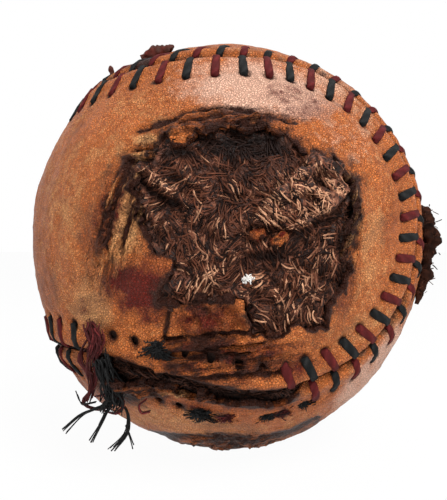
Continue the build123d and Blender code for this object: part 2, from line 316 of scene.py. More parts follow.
def outline_distance(pixels, outline):
    """Signed distance in pixels to a closed outline, positive outside."""
    ring = np.asarray(outline, float)
    best = np.full(len(pixels), 1e9)
    inside = np.zeros(len(pixels), bool)
    for start, end in zip(ring, np.roll(ring, -1, 0)):
        best = np.minimum(best, segment_distance(pixels, start, end))
        crosses = (start[1] > pixels[:, 1]) != (end[1] > pixels[:, 1])
        with np.errstate(divide="ignore", invalid="ignore"):
            level = start[0] + (pixels[:, 1] - start[1]) * (end - start)[0] / (end - start)[1]
        inside ^= crosses & (pixels[:, 0] < level)
    return np.where(inside, -best, best)


def along_lines(pixels, lines, width):
    """1 on any of the lines, falling to 0 within about two widths of them."""
    best = np.full(len(pixels), 1e9)
    for line in lines:
        corners = np.asarray(line, float)
        for start, end in zip(corners, corners[1:]):
            best = np.minimum(best, segment_distance(pixels, start, end))
    return np.exp(-(best / width) ** 2)


def at_depth(pixels, depth):
    """Points seen at the given pixels, at a distance along Y from the ball's centre."""
    pixels = np.asarray(pixels, float)
    reach = CAMERA_DISTANCE + np.asarray(depth, float)
    x = (pixels[:, 0] - BALL_CENTRE_PX[0]) / FOCAL_PX * reach
    z = (BALL_CENTRE_PX[1] - pixels[:, 1]) / FOCAL_PX * reach
    return np.stack([x, reach - CAMERA_DISTANCE, z], 1)


def smooth_path(points, count):
    """A smooth line of count points through the given ones."""
    points = np.asarray(points, float)
    slopes = np.gradient(points, axis=0)
    places = np.linspace(0, len(points) - 1, count)
    left = np.clip(places.astype(int), 0, len(points) - 2)
    t = (places - left)[:, None]
    from_left = (2 * t ** 3 - 3 * t ** 2 + 1) * points[left] + (t ** 3 - 2 * t ** 2 + t) * slopes[left]
    return from_left + (3 * t ** 2 - 2 * t ** 3) * points[left + 1] + (t ** 3 - t ** 2) * slopes[left + 1]


def patch(pixels, centre, radii, turn=0.0, soft=0.6):
    """A soft-edged oval mask at a place in the photograph: 1 at its centre, 0 outside."""
    angle = math.radians(turn)
    x, y = (pixels - np.asarray(centre, float)).T
    along = (x * math.cos(angle) + y * math.sin(angle)) / radii[0]
    across = (y * math.cos(angle) - x * math.sin(angle)) / radii[1]
    return 1 - ease(1 - soft, 1 + soft * 0.4, np.hypot(along, across))


def patches(pixels, table):
    """The strongest of several soft ovals at each pixel."""
    ovals = [amount * patch(pixels, centre, radii, turn) for centre, radii, turn, amount in table]
    return np.maximum.reduce([np.zeros(len(pixels)), *ovals])


# Seam layout
seam_z = unit(WAIST_DIRECTION)
seam_x = unit(np.array(LOBE_DIRECTION) - seam_z * (seam_z @ np.array(LOBE_DIRECTION)))
seam_y = np.cross(seam_z, seam_x)
lobe_axes = [
    seam_x * math.cos(LOBE_DIP) + seam_z * math.sin(LOBE_DIP),
    -seam_y * math.cos(LOBE_DIP) - seam_z * math.sin(LOBE_DIP),
    -seam_x * math.cos(LOBE_DIP) + seam_z * math.sin(LOBE_DIP),
    seam_y * math.cos(LOBE_DIP) - seam_z * math.sin(LOBE_DIP),
]
lobe_reach = math.acos(lobe_axes[0] @ lobe_axes[1]) / 2


def lobe_frame(lobe):
    """A lobe's owner, its cross directions, and the half angle that its arc leaves open."""
    axis = lobe_axes[lobe % 4]
    owner = FRONT if lobe % 2 == 0 else REAR
    inward = unit(seam_z * owner - axis * (axis @ seam_z) * owner)
    sideways = np.cross(axis, inward)
    start = unit(axis + lobe_axes[(lobe - 1) % 4])
    opening = math.atan2(abs(start @ sideways), start @ inward)
    side = 1 if start @ sideways > 0 else -1
    return axis, owner, inward, sideways, opening, side


def seam_direction(lobe, station, shift):
    """Direction of a place along a lobe's arc, moved by an angle into the front panel."""
    axis, owner, inward, sideways, opening, side = lobe_frame(lobe)
    turn = side * (opening + (2 * math.pi - 2 * opening) * station)
    reach = lobe_reach - shift * owner
    return axis * math.cos(reach) + (inward * math.cos(turn) + sideways * math.sin(turn)) * math.sin(reach)


def seam_distance(directions):
    """Distance to the seam in millimetres along the ball, positive on the front panel."""
    near = np.full(len(directions), 9.0)
    in_front = directions @ seam_z > 0
    for lobe in range(4):
        axis, owner, inward, sideways, opening, _ = lobe_frame(lobe)
        angle = np.arccos(np.clip(directions @ axis, -1, 1))
        turn = np.abs(np.arctan2(directions @ sideways, directions @ inward))
        gap = np.where(turn >= opening - 0.02, np.abs(angle - lobe_reach), 9.0)
        near = np.minimum(near, gap)
        in_front = np.where(angle < lobe_reach, owner == FRONT, in_front)
    return np.where(in_front, near, -near) * BALL


arc_length = BALL * math.sin(lobe_reach) * (2 * math.pi - 2 * lobe_frame(0)[4])


def leg_ends(panel, lobe, stitch):
    """Directions of a stitch leg's awl hole and of its apex in the seam."""
    station = (stitch + 0.5) / STITCHES_PER_ARC
    lean = np.interp(lobe + station, *zip(*LEANS[panel]))
    inset = np.interp(lobe + station, *zip(*INSETS[panel]))
    apex_station = station + (0.0 if panel == FRONT else LEG_STAGGER / arc_length)
    hole = seam_direction(lobe, apex_station - lean / arc_length, panel * inset / BALL)
    apex = seam_direction(lobe, apex_station, panel * APEX_INSET / BALL)
    return hole, apex


def all_legs():
    """Every leg's panel, lobe and number in its arc."""
    arcs = [(panel, lobe) for panel in (FRONT, REAR) for lobe in range(4)]
    return [(panel, lobe, stitch) for panel, lobe in arcs for stitch in range(STITCHES_PER_ARC)]


def is_red(panel, lobe, stitch):
    """Colours alternate along the seam, and change over from one panel to the other."""
    return ((lobe * STITCHES_PER_ARC + stitch) % 2 == 0) == (panel == FRONT)


def is_open(panel, lobe, stitch):
    """True where the leg is missing or cut."""
    return (lobe, stitch) in (OPEN_FRONT_LEGS if panel == FRONT else OPEN_REAR_LEGS)


def swell(directions):
    """How far the worn ball stands off a true sphere, in millimetres."""
    bumps = (((-1.0, -0.3, 0.0), -0.9, 0.5), ((0.0, -0.3, -1.0), 0.8, 0.35), ((-0.55, -0.3, 0.8), 0.7, 0.3),
             ((0.85, -0.3, -0.5), -0.5, 0.4))
    total = np.zeros(len(directions))
    for centre, height, width in bumps:
        total += height * np.exp(-((1 - directions @ unit(centre)) / width ** 2))
    return total


def opening_mask(pixels, directions):
    """1 along the lower front, where the seam has come open."""
    across = ease(92, 118, pixels[:, 0]) * (1 - ease(288, 306, pixels[:, 0]))
    return across * ease(325, 340, pixels[:, 1]) * faces_camera(directions)


# Mesh building
def add_piece(name, points, faces, material, values=None, uv=None):
    """A mesh object from millimetre points; values are named numbers on its points."""
    mesh = bpy.data.meshes.new(name)
    mesh.from_pydata((np.asarray(points) * MM).tolist(), [], [list(map(int, face)) for face in faces])
    for key, numbers in (values or {}).items():
        mesh.attributes.new(key, "FLOAT", "POINT").data.foreach_set("value", np.asarray(numbers, np.float32))
    if uv is not None:
        layer = mesh.uv_layers.new(name="UVMap")
        corner = np.empty(len(mesh.loops), np.int32)
        mesh.loops.foreach_get("vertex_index", corner)
        layer.data.foreach_set("uv", np.asarray(uv, np.float32)[corner].ravel())
    mesh.shade_smooth()
    mesh.update()
    piece = bpy.data.objects.new(name, mesh)
    bpy.context.collection.objects.link(piece)
    mesh.materials.append(material)
    return piece


def finish_piece(piece, slot, *nodes):
    """Ties a finished piece to the ball and hides the solids it stands for; its slot is not used."""
    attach(piece, "root")
    if nodes:
        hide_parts(*nodes)


def apply_modifier(piece, kind, **settings):
    """Adds a modifier with the given settings and applies it."""
    modifier = piece.modifiers.new(kind.title(), kind)
    for key, value in settings.items():
        setattr(modifier, key, value)
    bpy.ops.object.select_all(action="DESELECT")
    bpy.context.view_layer.objects.active = piece
    piece.select_set(True)
    bpy.ops.object.modifier_apply(modifier=modifier.name)


def ball_mesh(subdivisions, dense_tests):
    """Directions and triangles of a ball, divided once more where each test in turn is true."""
    bpy.ops.object.select_all(action="DESELECT")
    bpy.ops.mesh.primitive_ico_sphere_add(subdivisions=subdivisions, radius=1)
    ball = bpy.context.object
    form = bmesh.new()
    form.from_mesh(ball.data)
    for test in dense_tests:
        form.verts.ensure_lookup_table()
        flags = test(np.array([vertex.co for vertex in form.verts]))
        form.verts.index_update()
        edges = [edge for edge in form.edges if flags[edge.verts[0].index] and flags[edge.verts[1].index]]
        bmesh.ops.subdivide_edges(form, edges=edges, cuts=1, use_grid_fill=True)
        bmesh.ops.triangulate(form, faces=form.faces)
        for vertex in form.verts:
            vertex.co.normalize()
    form.verts.index_update()
    directions = np.array([vertex.co for vertex in form.verts])
    triangles = np.array([[vertex.index for vertex in face.verts] for face in form.faces])
    form.free()
    mesh = ball.data
    bpy.data.objects.remove(ball)
    bpy.data.meshes.remove(mesh)
    return directions, triangles


def clip_mesh(points, triangles, field):
    """The part of a mesh where the field is positive, with the triangles that it crosses cut."""
    inside = field > 0
    count = inside[triangles].sum(1)
    faces = triangles[count == 3].tolist()
    extra, crossings = [], {}

    def crossing(a, b):
        key = (min(a, b), max(a, b))
        if key not in crossings:
            share = field[a] / (field[a] - field[b])
            crossings[key] = len(points) + len(extra)
            extra.append(points[a] + (points[b] - points[a]) * share)
        return crossings[key]

    for corners in triangles[(count > 0) & (count < 3)].tolist():
        ring = []
        for a, b in zip(corners, corners[1:] + corners[:1]):
            if inside[a]:
                ring.append(a)
            if inside[a] != inside[b]:
                ring.append(crossing(a, b))
        faces.append(ring)
    everything = np.vstack([points, extra]) if extra else points
    used = np.unique([index for face in faces for index in face])
    order = np.full(len(everything), -1)
    order[used] = np.arange(len(used))
    return everything[used], [[order[index] for index in face] for face in faces]


def tubes(paths, radii, sides=3, flat=1.0):
    """Points, faces and uv of thin closed tubes, one along each path."""
    points, faces, uv = [], [], []
    for number, path in enumerate(paths):
        path = np.asarray(path, float)
        tangent = unit(np.gradient(path, axis=0))
        side = unit(np.cross(tangent, unit(path)))
        lift = np.cross(side, tangent)
        base = len(points)
        radius = np.broadcast_to(radii[number], len(path))
        for ring, (place, across, above, size) in enumerate(zip(path, side, lift, radius)):
            for corner in range(sides):
                angle = 2 * math.pi * corner / sides
                points.append(place + size * (across * math.cos(angle) + above * math.sin(angle) * flat))
                uv.append((corner / sides, ring / (len(path) - 1)))
        for ring in range(len(path) - 1):
            for corner in range(sides):
                here, ahead = base + ring * sides, base + (ring + 1) * sides
                after = (corner + 1) % sides
                faces.append((here + corner, ahead + corner, ahead + after, here + after))
        faces.append(tuple(base + corner for corner in range(sides)))
        last = base + (len(path) - 1) * sides
        faces.append(tuple(last + corner for corner in reversed(range(sides))))
    return np.array(points), faces, np.array(uv)


# Materials
def feed(tree, socket, value):
    """Links a socket to another, or sets its value; a colour is made opaque."""
    if isinstance(value, bpy.types.NodeSocket):
        tree.links.new(value, socket)
    elif socket.type == "RGBA":
        socket.default_value = (*value[:3], 1)
    else:
        socket.default_value = value


def place_node(tree, kind, sockets=None, **settings):
    """Adds a node, sets its properties and feeds its input sockets."""
    node = tree.nodes.new(kind)
    for key, value in settings.items():
        setattr(node, key, value)
    for key, value in (sockets or {}).items():
        feed(tree, node.inputs[key], value)
    return node


def mix_colours(tree, factor, low, high):
    """A colour between two others."""
    node = place_node(tree, "ShaderNodeMix", data_type="RGBA")
    for number, value in ((0, factor), (6, low), (7, high)):
        feed(tree, node.inputs[number], value)
    return node.outputs[2]


def compute(tree, operation, *values):
    """A Math node's result."""
    return place_node(tree, "ShaderNodeMath", dict(enumerate(values)), operation=operation).outputs[0]


def spread(tree, value, low, high):
    """A value taken from a range to 0 to 1."""
    sockets = {"Value": value, "From Min": low, "From Max": high}
    return place_node(tree, "ShaderNodeMapRange", sockets).outputs[0]


def attribute(tree, name):
    """A named number on the piece's points."""
    return place_node(tree, "ShaderNodeAttribute", attribute_name=name).outputs["Fac"]


def noise(tree, coordinates, scale, detail=4.0, roughness=0.6, distortion=0.0):
    """A noise value; the scale is in waves per metre."""
    sockets = {"Vector": coordinates, "Scale": scale, "Detail": detail, "Roughness": roughness,
               "Distortion": distortion}
    return place_node(tree, "ShaderNodeTexNoise", sockets).outputs["Fac"]


def stretched(tree, coordinates, angle, along, across):
    """Coordinates for marks drawn out along an angle in the photograph; lengths in metres."""
    sockets = {"Vector": coordinates, "Rotation": (0, math.radians(angle), 0),
               "Scale": (along, 2 * across, across)}
    return place_node(tree, "ShaderNodeMapping", sockets, vector_type="TEXTURE").outputs["Vector"]


def add_bump(tree, strength, distance, height, under=None):
    """A bump's normal, over the normal of another bump where one is given; the distance is in metres."""
    node = place_node(tree, "ShaderNodeBump", {"Strength": strength, "Distance": distance, "Height": height})
    if under:
        tree.links.new(under, node.inputs["Normal"])
    return node.outputs["Normal"]


def three_tones(tree, factor, dark, middle, light, middle_place):
    """A colour that runs from dark to light through a middle tone."""
    ramp = place_node(tree, "ShaderNodeValToRGB", {"Fac": factor})
    ramp.color_ramp.elements[0].color = (*dark, 1)
    ramp.color_ramp.elements[1].color = (*light, 1)
    ramp.color_ramp.elements.new(middle_place).color = (*middle, 1)
    return ramp.outputs["Color"]


def start_material(name, roughness, shine=0.5):
    """A material with a Principled shader, and its tree, shader and object coordinates."""
    material = bpy.data.materials.new(name)
    material.use_nodes = True
    tree = material.node_tree
    shader = tree.nodes["Principled BSDF"]
    shader.inputs["Roughness"].default_value = roughness
    shader.inputs["Specular IOR Level"].default_value = shine
    coordinates = place_node(tree, "ShaderNodeTexCoord").outputs["Object"]
    return material, tree, shader, coordinates


def finish_shader(tree, shader, colour, normal):
    """Gives a shader its colour and its bumps."""
    tree.links.new(colour, shader.inputs["Base Color"])
    tree.links.new(normal, shader.inputs["Normal"])


def background_rays(tree):
    """1 for the rays that see a white background: the camera's own, and those by way of gloss or glass."""
    path = place_node(tree, "ShaderNodeLightPath")
    rays = compute(tree, "MAXIMUM", path.outputs["Is Camera Ray"], path.outputs["Is Glossy Ray"])
    return compute(tree, "MAXIMUM", rays, path.outputs["Is Transmission Ray"])


def grain_group():
    """A node group of leather grain: a height, and a mask of its pits."""
    if "Leather grain" in bpy.data.node_groups:
        return bpy.data.node_groups["Leather grain"]
    group = bpy.data.node_groups.new("Leather grain", "ShaderNodeTree")
    for name, way, kind in (("Vector", "INPUT", "Vector"), ("Scale", "INPUT", "Float"),
                            ("Height", "OUTPUT", "Float"), ("Pits", "OUTPUT", "Float")):
        group.interface.new_socket(name, in_out=way, socket_type="NodeSocket" + kind)
    given = group.nodes.new("NodeGroupInput")
    out = group.nodes.new("NodeGroupOutput")
    sockets = {"Vector": given.outputs["Vector"], "Scale": given.outputs["Scale"]}
    cells = place_node(group, "ShaderNodeTexVoronoi", sockets, feature="DISTANCE_TO_EDGE")
    fine = noise(group, given.outputs["Vector"], compute(group, "MULTIPLY", given.outputs["Scale"], 1.8), 3.0)
    pebble = spread(group, cells.outputs["Distance"], 0.0, 0.25)
    height = compute(group, "MULTIPLY_ADD", pebble, 0.5, compute(group, "MULTIPLY", fine, 0.5))
    group.links.new(height, out.inputs["Height"])
    group.links.new(compute(group, "SUBTRACT", 1.0, pebble), out.inputs["Pits"])
    return group


def leather_material(look, name):
    """Worn leather: tan and pale stretches, rust and soil stains, fibrous folds, grain and scuffs, with
    painted glints on the grain, painted highlights on fold crests and in the pale and scuff marks, and
    painted shade in creases and fold grooves.
    """
    material, tree, shader, coordinates = start_material(name, 0.6, 0.15)
    wide = spread(tree, noise(tree, coordinates, 45.0, 5.0, 0.6), 0.3, 0.7)
    middle = spread(tree, noise(tree, coordinates, 170.0, 5.0, 0.65), 0.3, 0.7)
    fine = spread(tree, noise(tree, coordinates, 1300.0, 3.0, 0.7), 0.25, 0.75)
    grain = place_node(tree, "ShaderNodeGroup", node_tree=grain_group())
    feed(tree, grain.inputs["Vector"], coordinates)
    feed(tree, grain.inputs["Scale"], 2600.0)
    colour = mix_colours(tree, wide, look.leather_tan, look.leather_orange)
    colour = mix_colours(tree, compute(tree, "MULTIPLY", middle, 0.4), colour, look.leather_brown)
    # Painted glints: fine flecks of the pale colour stand in for the gloss on the grain.
    painted_glint = compute(tree, "MULTIPLY", spread(tree, fine, 0.55, 1.0), 0.45)
    colour = mix_colours(tree, painted_glint, colour, look.leather_pale)
    worn = compute(tree, "MULTIPLY", spread(tree, fine, 0.5, 0.0), 0.7)
    colour = mix_colours(tree, worn, colour, look.leather_brown)
    blotch = spread(tree, noise(tree, coordinates, 420.0, 4.0, 0.65), 0.3, 0.7)
    # Pale and scuffed leather, rust and soil; the pale and scuff masks also hold painted highlights, and the
    # soil mask holds painted shade in the creases.
    stains_and_painted_light = (("pale", look.leather_pale, 0.15, 0.9), ("scuff_and_sheen", look.leather_scuff_and_sheen, 0.15, 0.9),
              ("rust", look.leather_rust, 0.12, 0.75), ("soil_and_shade", look.leather_dark, 0.12, 0.62))
    for key, shade, low, high in stains_and_painted_light:
        mask = attribute(tree, key)
        # a stain, painted highlight or painted shade stays off places where its mask is zero
        held = spread(tree, mask, 0.0, 0.12)
        for mottle, amount in ((middle, 0.5), (fine, 0.4), (blotch, 0.5)):
            mask = compute(tree, "MULTIPLY_ADD", compute(tree, "SUBTRACT", mottle, 0.5), amount, mask)
        mask = compute(tree, "MULTIPLY", spread(tree, mask, low, high), held)
        colour = mix_colours(tree, mask, colour, shade)
    fold_height = 0.0
    folds = (("folds_across", -6.0, look.leather_orange), ("folds_down", 106.0, look.leather_pale))
    for key, angle, ridge in folds:
        lines = noise(tree, stretched(tree, coordinates, angle, 0.006, 0.0011), 1.0, 4.0, 0.62, 0.5)
        lines = spread(tree, lines, 0.36, 0.64)
        mask = attribute(tree, key)
        # Painted shade darkens each fold's groove, and a painted highlight lightens its crest.
        groove = compute(tree, "MULTIPLY", mask, spread(tree, lines, 0.5, 0.1))
        crest = compute(tree, "MULTIPLY", mask, spread(tree, lines, 0.62, 1.0))
        colour = mix_colours(tree, compute(tree, "MULTIPLY", groove, 0.88), colour, look.leather_dark)
        colour = mix_colours(tree, compute(tree, "MULTIPLY", crest, 0.4), colour, ridge)
        fold_height = compute(tree, "MULTIPLY_ADD", mask, lines, fold_height)
    pit = compute(tree, "MULTIPLY", grain.outputs["Pits"], 0.5)
    colour = mix_colours(tree, pit, colour, look.leather_dark)
    feed(tree, shader.inputs["Roughness"], compute(tree, "MULTIPLY_ADD", middle, 0.22, 0.36))
    normal = add_bump(tree, 1.0, 0.0004, grain.outputs["Height"])
    normal = add_bump(tree, 0.6, 0.0006, middle, normal)
    finish_shader(tree, shader, colour, add_bump(tree, 1.0, 0.0008, fold_height, normal))
    return material


def fibre_material(name, dark, middle, light, roughness=0.75, shine=0.2):
    """Fibres whose shade follows the tone on each strand."""
    material, tree, shader, coordinates = start_material(name, roughness, shine)
    tones = three_tones(tree, attribute(tree, "tone"), dark, middle, light, 0.55)
    streak = spread(tree, noise(tree, coordinates, 1400.0, 3.0), 0.3, 0.7)
    colour = mix_colours(tree, compute(tree, "MULTIPLY", streak, 0.5), tones, dark)
    finish_shader(tree, shader, colour, add_bump(tree, 0.4, 0.0001, streak))
    return material


def felt_material(look, name):
    """Matted wool: fine lines of fibre that cross at several angles, over near-black gaps of painted shade.
    """
    material, tree, shader, coordinates = start_material(name, 0.6, 0.25)
    felt = 0.0
    for key, angle in (("lay_down", 103.0), ("lay_slant", 38.0), ("lay_back", -50.0), ("lay_flat", 2.0)):
        lines = noise(tree, stretched(tree, coordinates, angle, 0.0034, 0.001), 1.0, 1.5, 0.5, 0.6)
        # a fibre runs where the noise passes its middle value
        lines = compute(tree, "ABSOLUTE", compute(tree, "SUBTRACT", lines, 0.5))
        lines = compute(tree, "MULTIPLY", spread(tree, lines, 0.07, 0.012), attribute(tree, key))
        felt = compute(tree, "MAXIMUM", felt, lines)
    clump = spread(tree, noise(tree, coordinates, 420.0, 4.0, 0.6), 0.36, 0.62)
    # Painted light and shade: the tone brings the mat's painted light and shade, and the colour darkens
    # further where the clumps lie low.
    shade = compute(tree, "MULTIPLY", attribute(tree, "tone"), compute(tree, "MULTIPLY_ADD", clump, 1.0, 0.2))
    tones = (look.wool_dark, look.wool_middle, look.wool_light)
    colour = three_tones(tree, compute(tree, "MULTIPLY", felt, shade), *tones, 0.3)
    height = compute(tree, "MULTIPLY_ADD", clump, 0.8, felt)
    finish_shader(tree, shader, colour, add_bump(tree, 1.0, 0.0004, height))
    return material


def thread_material(name, dark, light):
    """Twisted waxed thread, worn pale on its crown."""
    material, tree, shader, coordinates = start_material(name, 0.75, 0.1)
    uv = place_node(tree, "ShaderNodeUVMap").outputs["UV"]
    split = place_node(tree, "ShaderNodeSeparateXYZ", {"Vector": uv})
    twist = compute(tree, "ADD", split.outputs["X"], compute(tree, "MULTIPLY", split.outputs["Y"], 1.6))
    ply = compute(tree, "SINE", compute(tree, "MULTIPLY", twist, 4 * math.pi))
    ply = spread(tree, ply, -1.0, 1.0)
    wear = spread(tree, noise(tree, coordinates, 700.0, 4.0, 0.7), 0.35, 0.75)
    colour = mix_colours(tree, compute(tree, "MULTIPLY", wear, ply), dark, light)
    height = compute(tree, "MULTIPLY_ADD", noise(tree, coordinates, 4000.0, 2.0), 0.4, ply)
    finish_shader(tree, shader, colour, add_bump(tree, 0.8, 0.00018, height))
    return material


def plain_layer_material(name, dark, light, scale, roughness):
    """An inner layer: two tones in a grain of the given scale."""
    material, tree, shader, coordinates = start_material(name, roughness)
    grain = spread(tree, noise(tree, coordinates, scale, 6.0, 0.65), 0.3, 0.7)
    finish_shader(tree, shader, mix_colours(tree, grain, dark, light), add_bump(tree, 0.5, 0.0003, grain))
    return material


# Shapes of the cover
def tear_distance(directions):
    """Distance to the torn mouth's ragged edge in millimetres, positive on the leather."""
    points = directions * BALL
    pixels = to_pixel(points)
    ragged = 2.2 * ripple(points, 3.2, 11) + 1.2 * ripple(points, 1.3, 12)
    away = (outline_distance(pixels, TEAR_PX) + ragged) / PX_PER_MM
    return np.where(directions[:, 1] < MOUTH_LIMIT_Y, away, 9.0)


def hole_directions(panel):
    """The awl holes of a panel, with a mark on those that hold no thread."""
    legs = [leg for leg in all_legs() if leg[0] == panel]
    return np.array([leg_ends(*leg)[0] for leg in legs]), np.array([is_open(*leg) for leg in legs])


def nearest(directions, targets):
    """Distance in millimetres from each direction to the nearest target."""
    best = np.full(len(directions), -1.0)
    for target in targets:
        best = np.maximum(best, directions @ target)
    return np.arccos(np.clip(best, -1, 1)) * BALL


def streaks(pixels, angle, width, seed):
    """Uneven folds along an angle in the photograph, about a width in pixels across, from -1 to 1."""
    turn = math.radians(angle)
    along = pixels[:, 0] * math.cos(turn) + pixels[:, 1] * math.sin(turn)
    across = pixels[:, 1] * math.cos(turn) - pixels[:, 0] * math.sin(turn)
    place = np.stack([along / 6, across, np.zeros(len(pixels))], 1)
    return np.tanh(ripple(place, 2 * width, seed) + 0.5 * ripple(place, width, seed + 1))


def fold_masks(pixels, directions, panel):
    """Where the leather has gone fibrous, with folds across the photograph and down it."""
    seen = faces_camera(directions)
    return seen * patches(pixels, FOLDS_ACROSS_PX[panel]), seen * patches(pixels, FOLDS_DOWN_PX[panel])


def plain_skin(directions, away, seeds):
    """The worn ball's uneven skin, with a raised welt beside the seam and an edge that rolls down."""
    height = swell(directions) + 0.55 * np.exp(-((away - 2.0) / 1.5) ** 2) - 0.75 * np.exp(-(away / 0.8) ** 2)
    for amount, wavelength, seed in zip((0.16, 0.07, 0.03), (22.0, 7.0, 1.6), seeds):
        height += amount * ripple(directions * BALL, wavelength, seed)
    return height


def hole_pits(directions, panel, depth, width):
    """How far the skin sinks at the awl holes."""
    holes, _ = hole_directions(panel)
    return depth * np.exp(-(nearest(directions, holes) / width) ** 2)


def front_skin(directions):
    """How far the front panel's skin stands above the ball's sphere."""
    points = directions * BALL
    pixels = to_pixel(points)
    seen = faces_camera(directions)
    away = seam_distance(directions)
    height = plain_skin(directions, away, (1, 2, 3))
    lift = 0.45 + 0.4 * ripple(points, 13.0, 4) + 0.45 * patch(pixels, (225, 128), (75, 20), -5)
    height += seen * lift * np.exp(-np.maximum(tear_distance(directions), 0) / 1.5)
    grooves = along_lines(pixels, GROOVE_LINES_PX, 2.2)
    folds = along_lines(pixels, RIDGE_LINES_PX, 3.4)
    height += seen * (0.65 * folds - 0.8 * grooves) * (1 + 0.35 * ripple(points, 2.2, 7))
    across, down = fold_masks(pixels, directions, FRONT)
    height += 0.3 * across * streaks(pixels, -6, 6.0, 30) + 0.3 * down * streaks(pixels, 106, 7.0, 32)
    height += 0.12 * np.maximum(across, down) * ripple(points, 1.2, 34)
    height -= seen * 0.5 * np.exp(-((outline_distance(pixels, SCRAP_PX) - 1.0) / 2.4) ** 2)
    scrap = patch(pixels, *SCRAP_MIDDLE_PX, soft=0.3)
    height -= seen * scrap * (0.6 + 0.2 * ripple(points, 2.5, 41) + 0.12 * ripple(points, 1.1, 42))
    height += opening_mask(pixels, directions) * 0.9 * np.exp(-np.maximum(away, 0) / 2.4)
    return height - hole_pits(directions, FRONT, 0.6, 0.95)


def rear_skin(directions):
    """How far the rear panel's skin stands above the ball's sphere."""
    points = directions * BALL
    pixels = to_pixel(points)
    seen = faces_camera(directions)
    away = -seam_distance(directions)
    height = plain_skin(directions, away, (1, 5, 6))
    height += opening_mask(pixels, directions) * 0.5 * np.exp(-np.maximum(away - 1.5, 0) / 2.0)
    lip = patch(pixels, (128, 378), (36, 16), 25)
    height += seen * lip * (1.1 + 0.5 * ripple(points, 4.0, 50))
    height -= 0.6 * seen * along_lines(pixels, BOTTOM_LINES_PX, 2.2)
    across, _ = fold_masks(pixels, directions, REAR)
    height += across * (0.3 * streaks(pixels, 4, 5.0, 36) + 0.15 * ripple(points, 1.2, 38))
    return height - hole_pits(directions, REAR, 0.55, 0.8)


def on_skin(directions, panel, rise=0.0):
    """Points on a panel's skin, or a rise above it."""
    skin = front_skin(directions) if panel == FRONT else rear_skin(directions)
    return directions * (BALL + skin + rise)[:, None]


def cover_masks(directions, panel):
    """The cover's stains, painted highlights and painted shade, and folds: numbers from 0 to 1 at each of its
    points.
    """
    points = directions * BALL
    pixels = to_pixel(points)
    seen = faces_camera(directions)
    away = np.abs(seam_distance(directions))
    pale = 0.2 * np.clip(0.5 + 0.5 * ripple(points, 26.0, 60), 0, 1)
    # Pale leather, and painted highlights from some of the pale ovals.
    pale = np.maximum(pale, seen * patches(pixels, PALE_PX))
    # Scuffs and a painted sheen: the large oval at the top of the ball is a painted sheen.
    scuff_and_sheen = seen * patches(pixels, SCUFF_AND_SHEEN_PX)
    rust = 0.3 * np.clip(ripple(points, 17.0, 62) - 0.6, 0, 1)
    holes, bare = hole_directions(panel)
    open_reach = 0.7 if panel == FRONT else 3.0
    soil_and_shade = np.maximum.reduce([
        0.35 * np.exp(-((away - 0.2) / 0.9) ** 2),
        np.exp(-(nearest(directions, holes) / 0.8) ** 2),
        np.exp(-(nearest(directions, holes[bare]) / 1.1) ** 2),
        0.95 * opening_mask(pixels, directions) * np.exp(-np.maximum(away - open_reach, 0) / 0.7),
    ])
    if panel == FRONT:
        rust = np.maximum(rust, seen * patches(pixels, FRONT_RUST_PX))
        reach = (0.8 + 0.6 * ripple(points, 9.0, 61)).clip(0.3, 2.2)
        edge = 0.9 * np.exp(-np.maximum(tear_distance(directions), 0) / reach)
        strip = 0.58 * patch(pixels, (215, 352), (88, 24)) * (0.75 + 0.25 * ripple(points, 3.0, 63))
        # Painted shade: the soil mask also darkens the creases.
        creases = along_lines(pixels, GROOVE_LINES_PX, 2.6)
        lip = 0.55 * patch(pixels, (225, 128), (80, 12), -4)
        soil_and_shade = np.maximum(soil_and_shade, seen * np.maximum.reduce([edge, strip, creases, lip]))
        # the scrap is cleaner than its surround, with a dark line at its rim
        scrap = 0.2 + patch(pixels, *SCRAP_MIDDLE_PX) * (0.15 + 0.35 * ripple(points, 2.2, 65))
        rim = outline_distance(pixels, SCRAP_PX)
        soil_and_shade = np.where(rim < 0, np.minimum(soil_and_shade, scrap), soil_and_shade)
        soil_and_shade = np.maximum(soil_and_shade, seen * 0.95 * np.exp(-((rim - 1.0) / 2.6) ** 2))
    else:
        rim_seen = ease(-0.1, -0.24, directions[:, 1])
        bottom = 0.5 * patch(pixels, (235, 442), (64, 12)) * (0.6 + 0.4 * ripple(points, 3.0, 64))
        bottom = rim_seen * np.maximum(bottom, along_lines(pixels, BOTTOM_LINES_PX, 2.8))
        soil_and_shade = np.maximum.reduce([soil_and_shade, bottom, seen * patches(pixels, REAR_SOIL_PX)])
        rust = np.maximum.reduce([rust, 0.6 * bottom, seen * 0.4 * patch(pixels, (225, 402), (110, 10))])
        # A painted highlight along the lower right limb, mixed into the scuff mask.
        limb = 0.9 * rim_seen * patch(pixels, (373, 370), (75, 16), -50)
        scuff_and_sheen = np.maximum.reduce([scuff_and_sheen, limb, seen * 0.9 * patch(pixels, (136, 385), (6, 4))])
        pale = np.maximum(pale, seen * patches(pixels, REAR_PALE_PX))
    across, down = fold_masks(pixels, directions, panel)
    return {"pale": pale, "scuff_and_sheen": scuff_and_sheen, "rust": rust, "soil_and_shade": soil_and_shade.clip(0, 1),
            "folds_across": across, "folds_down": down}


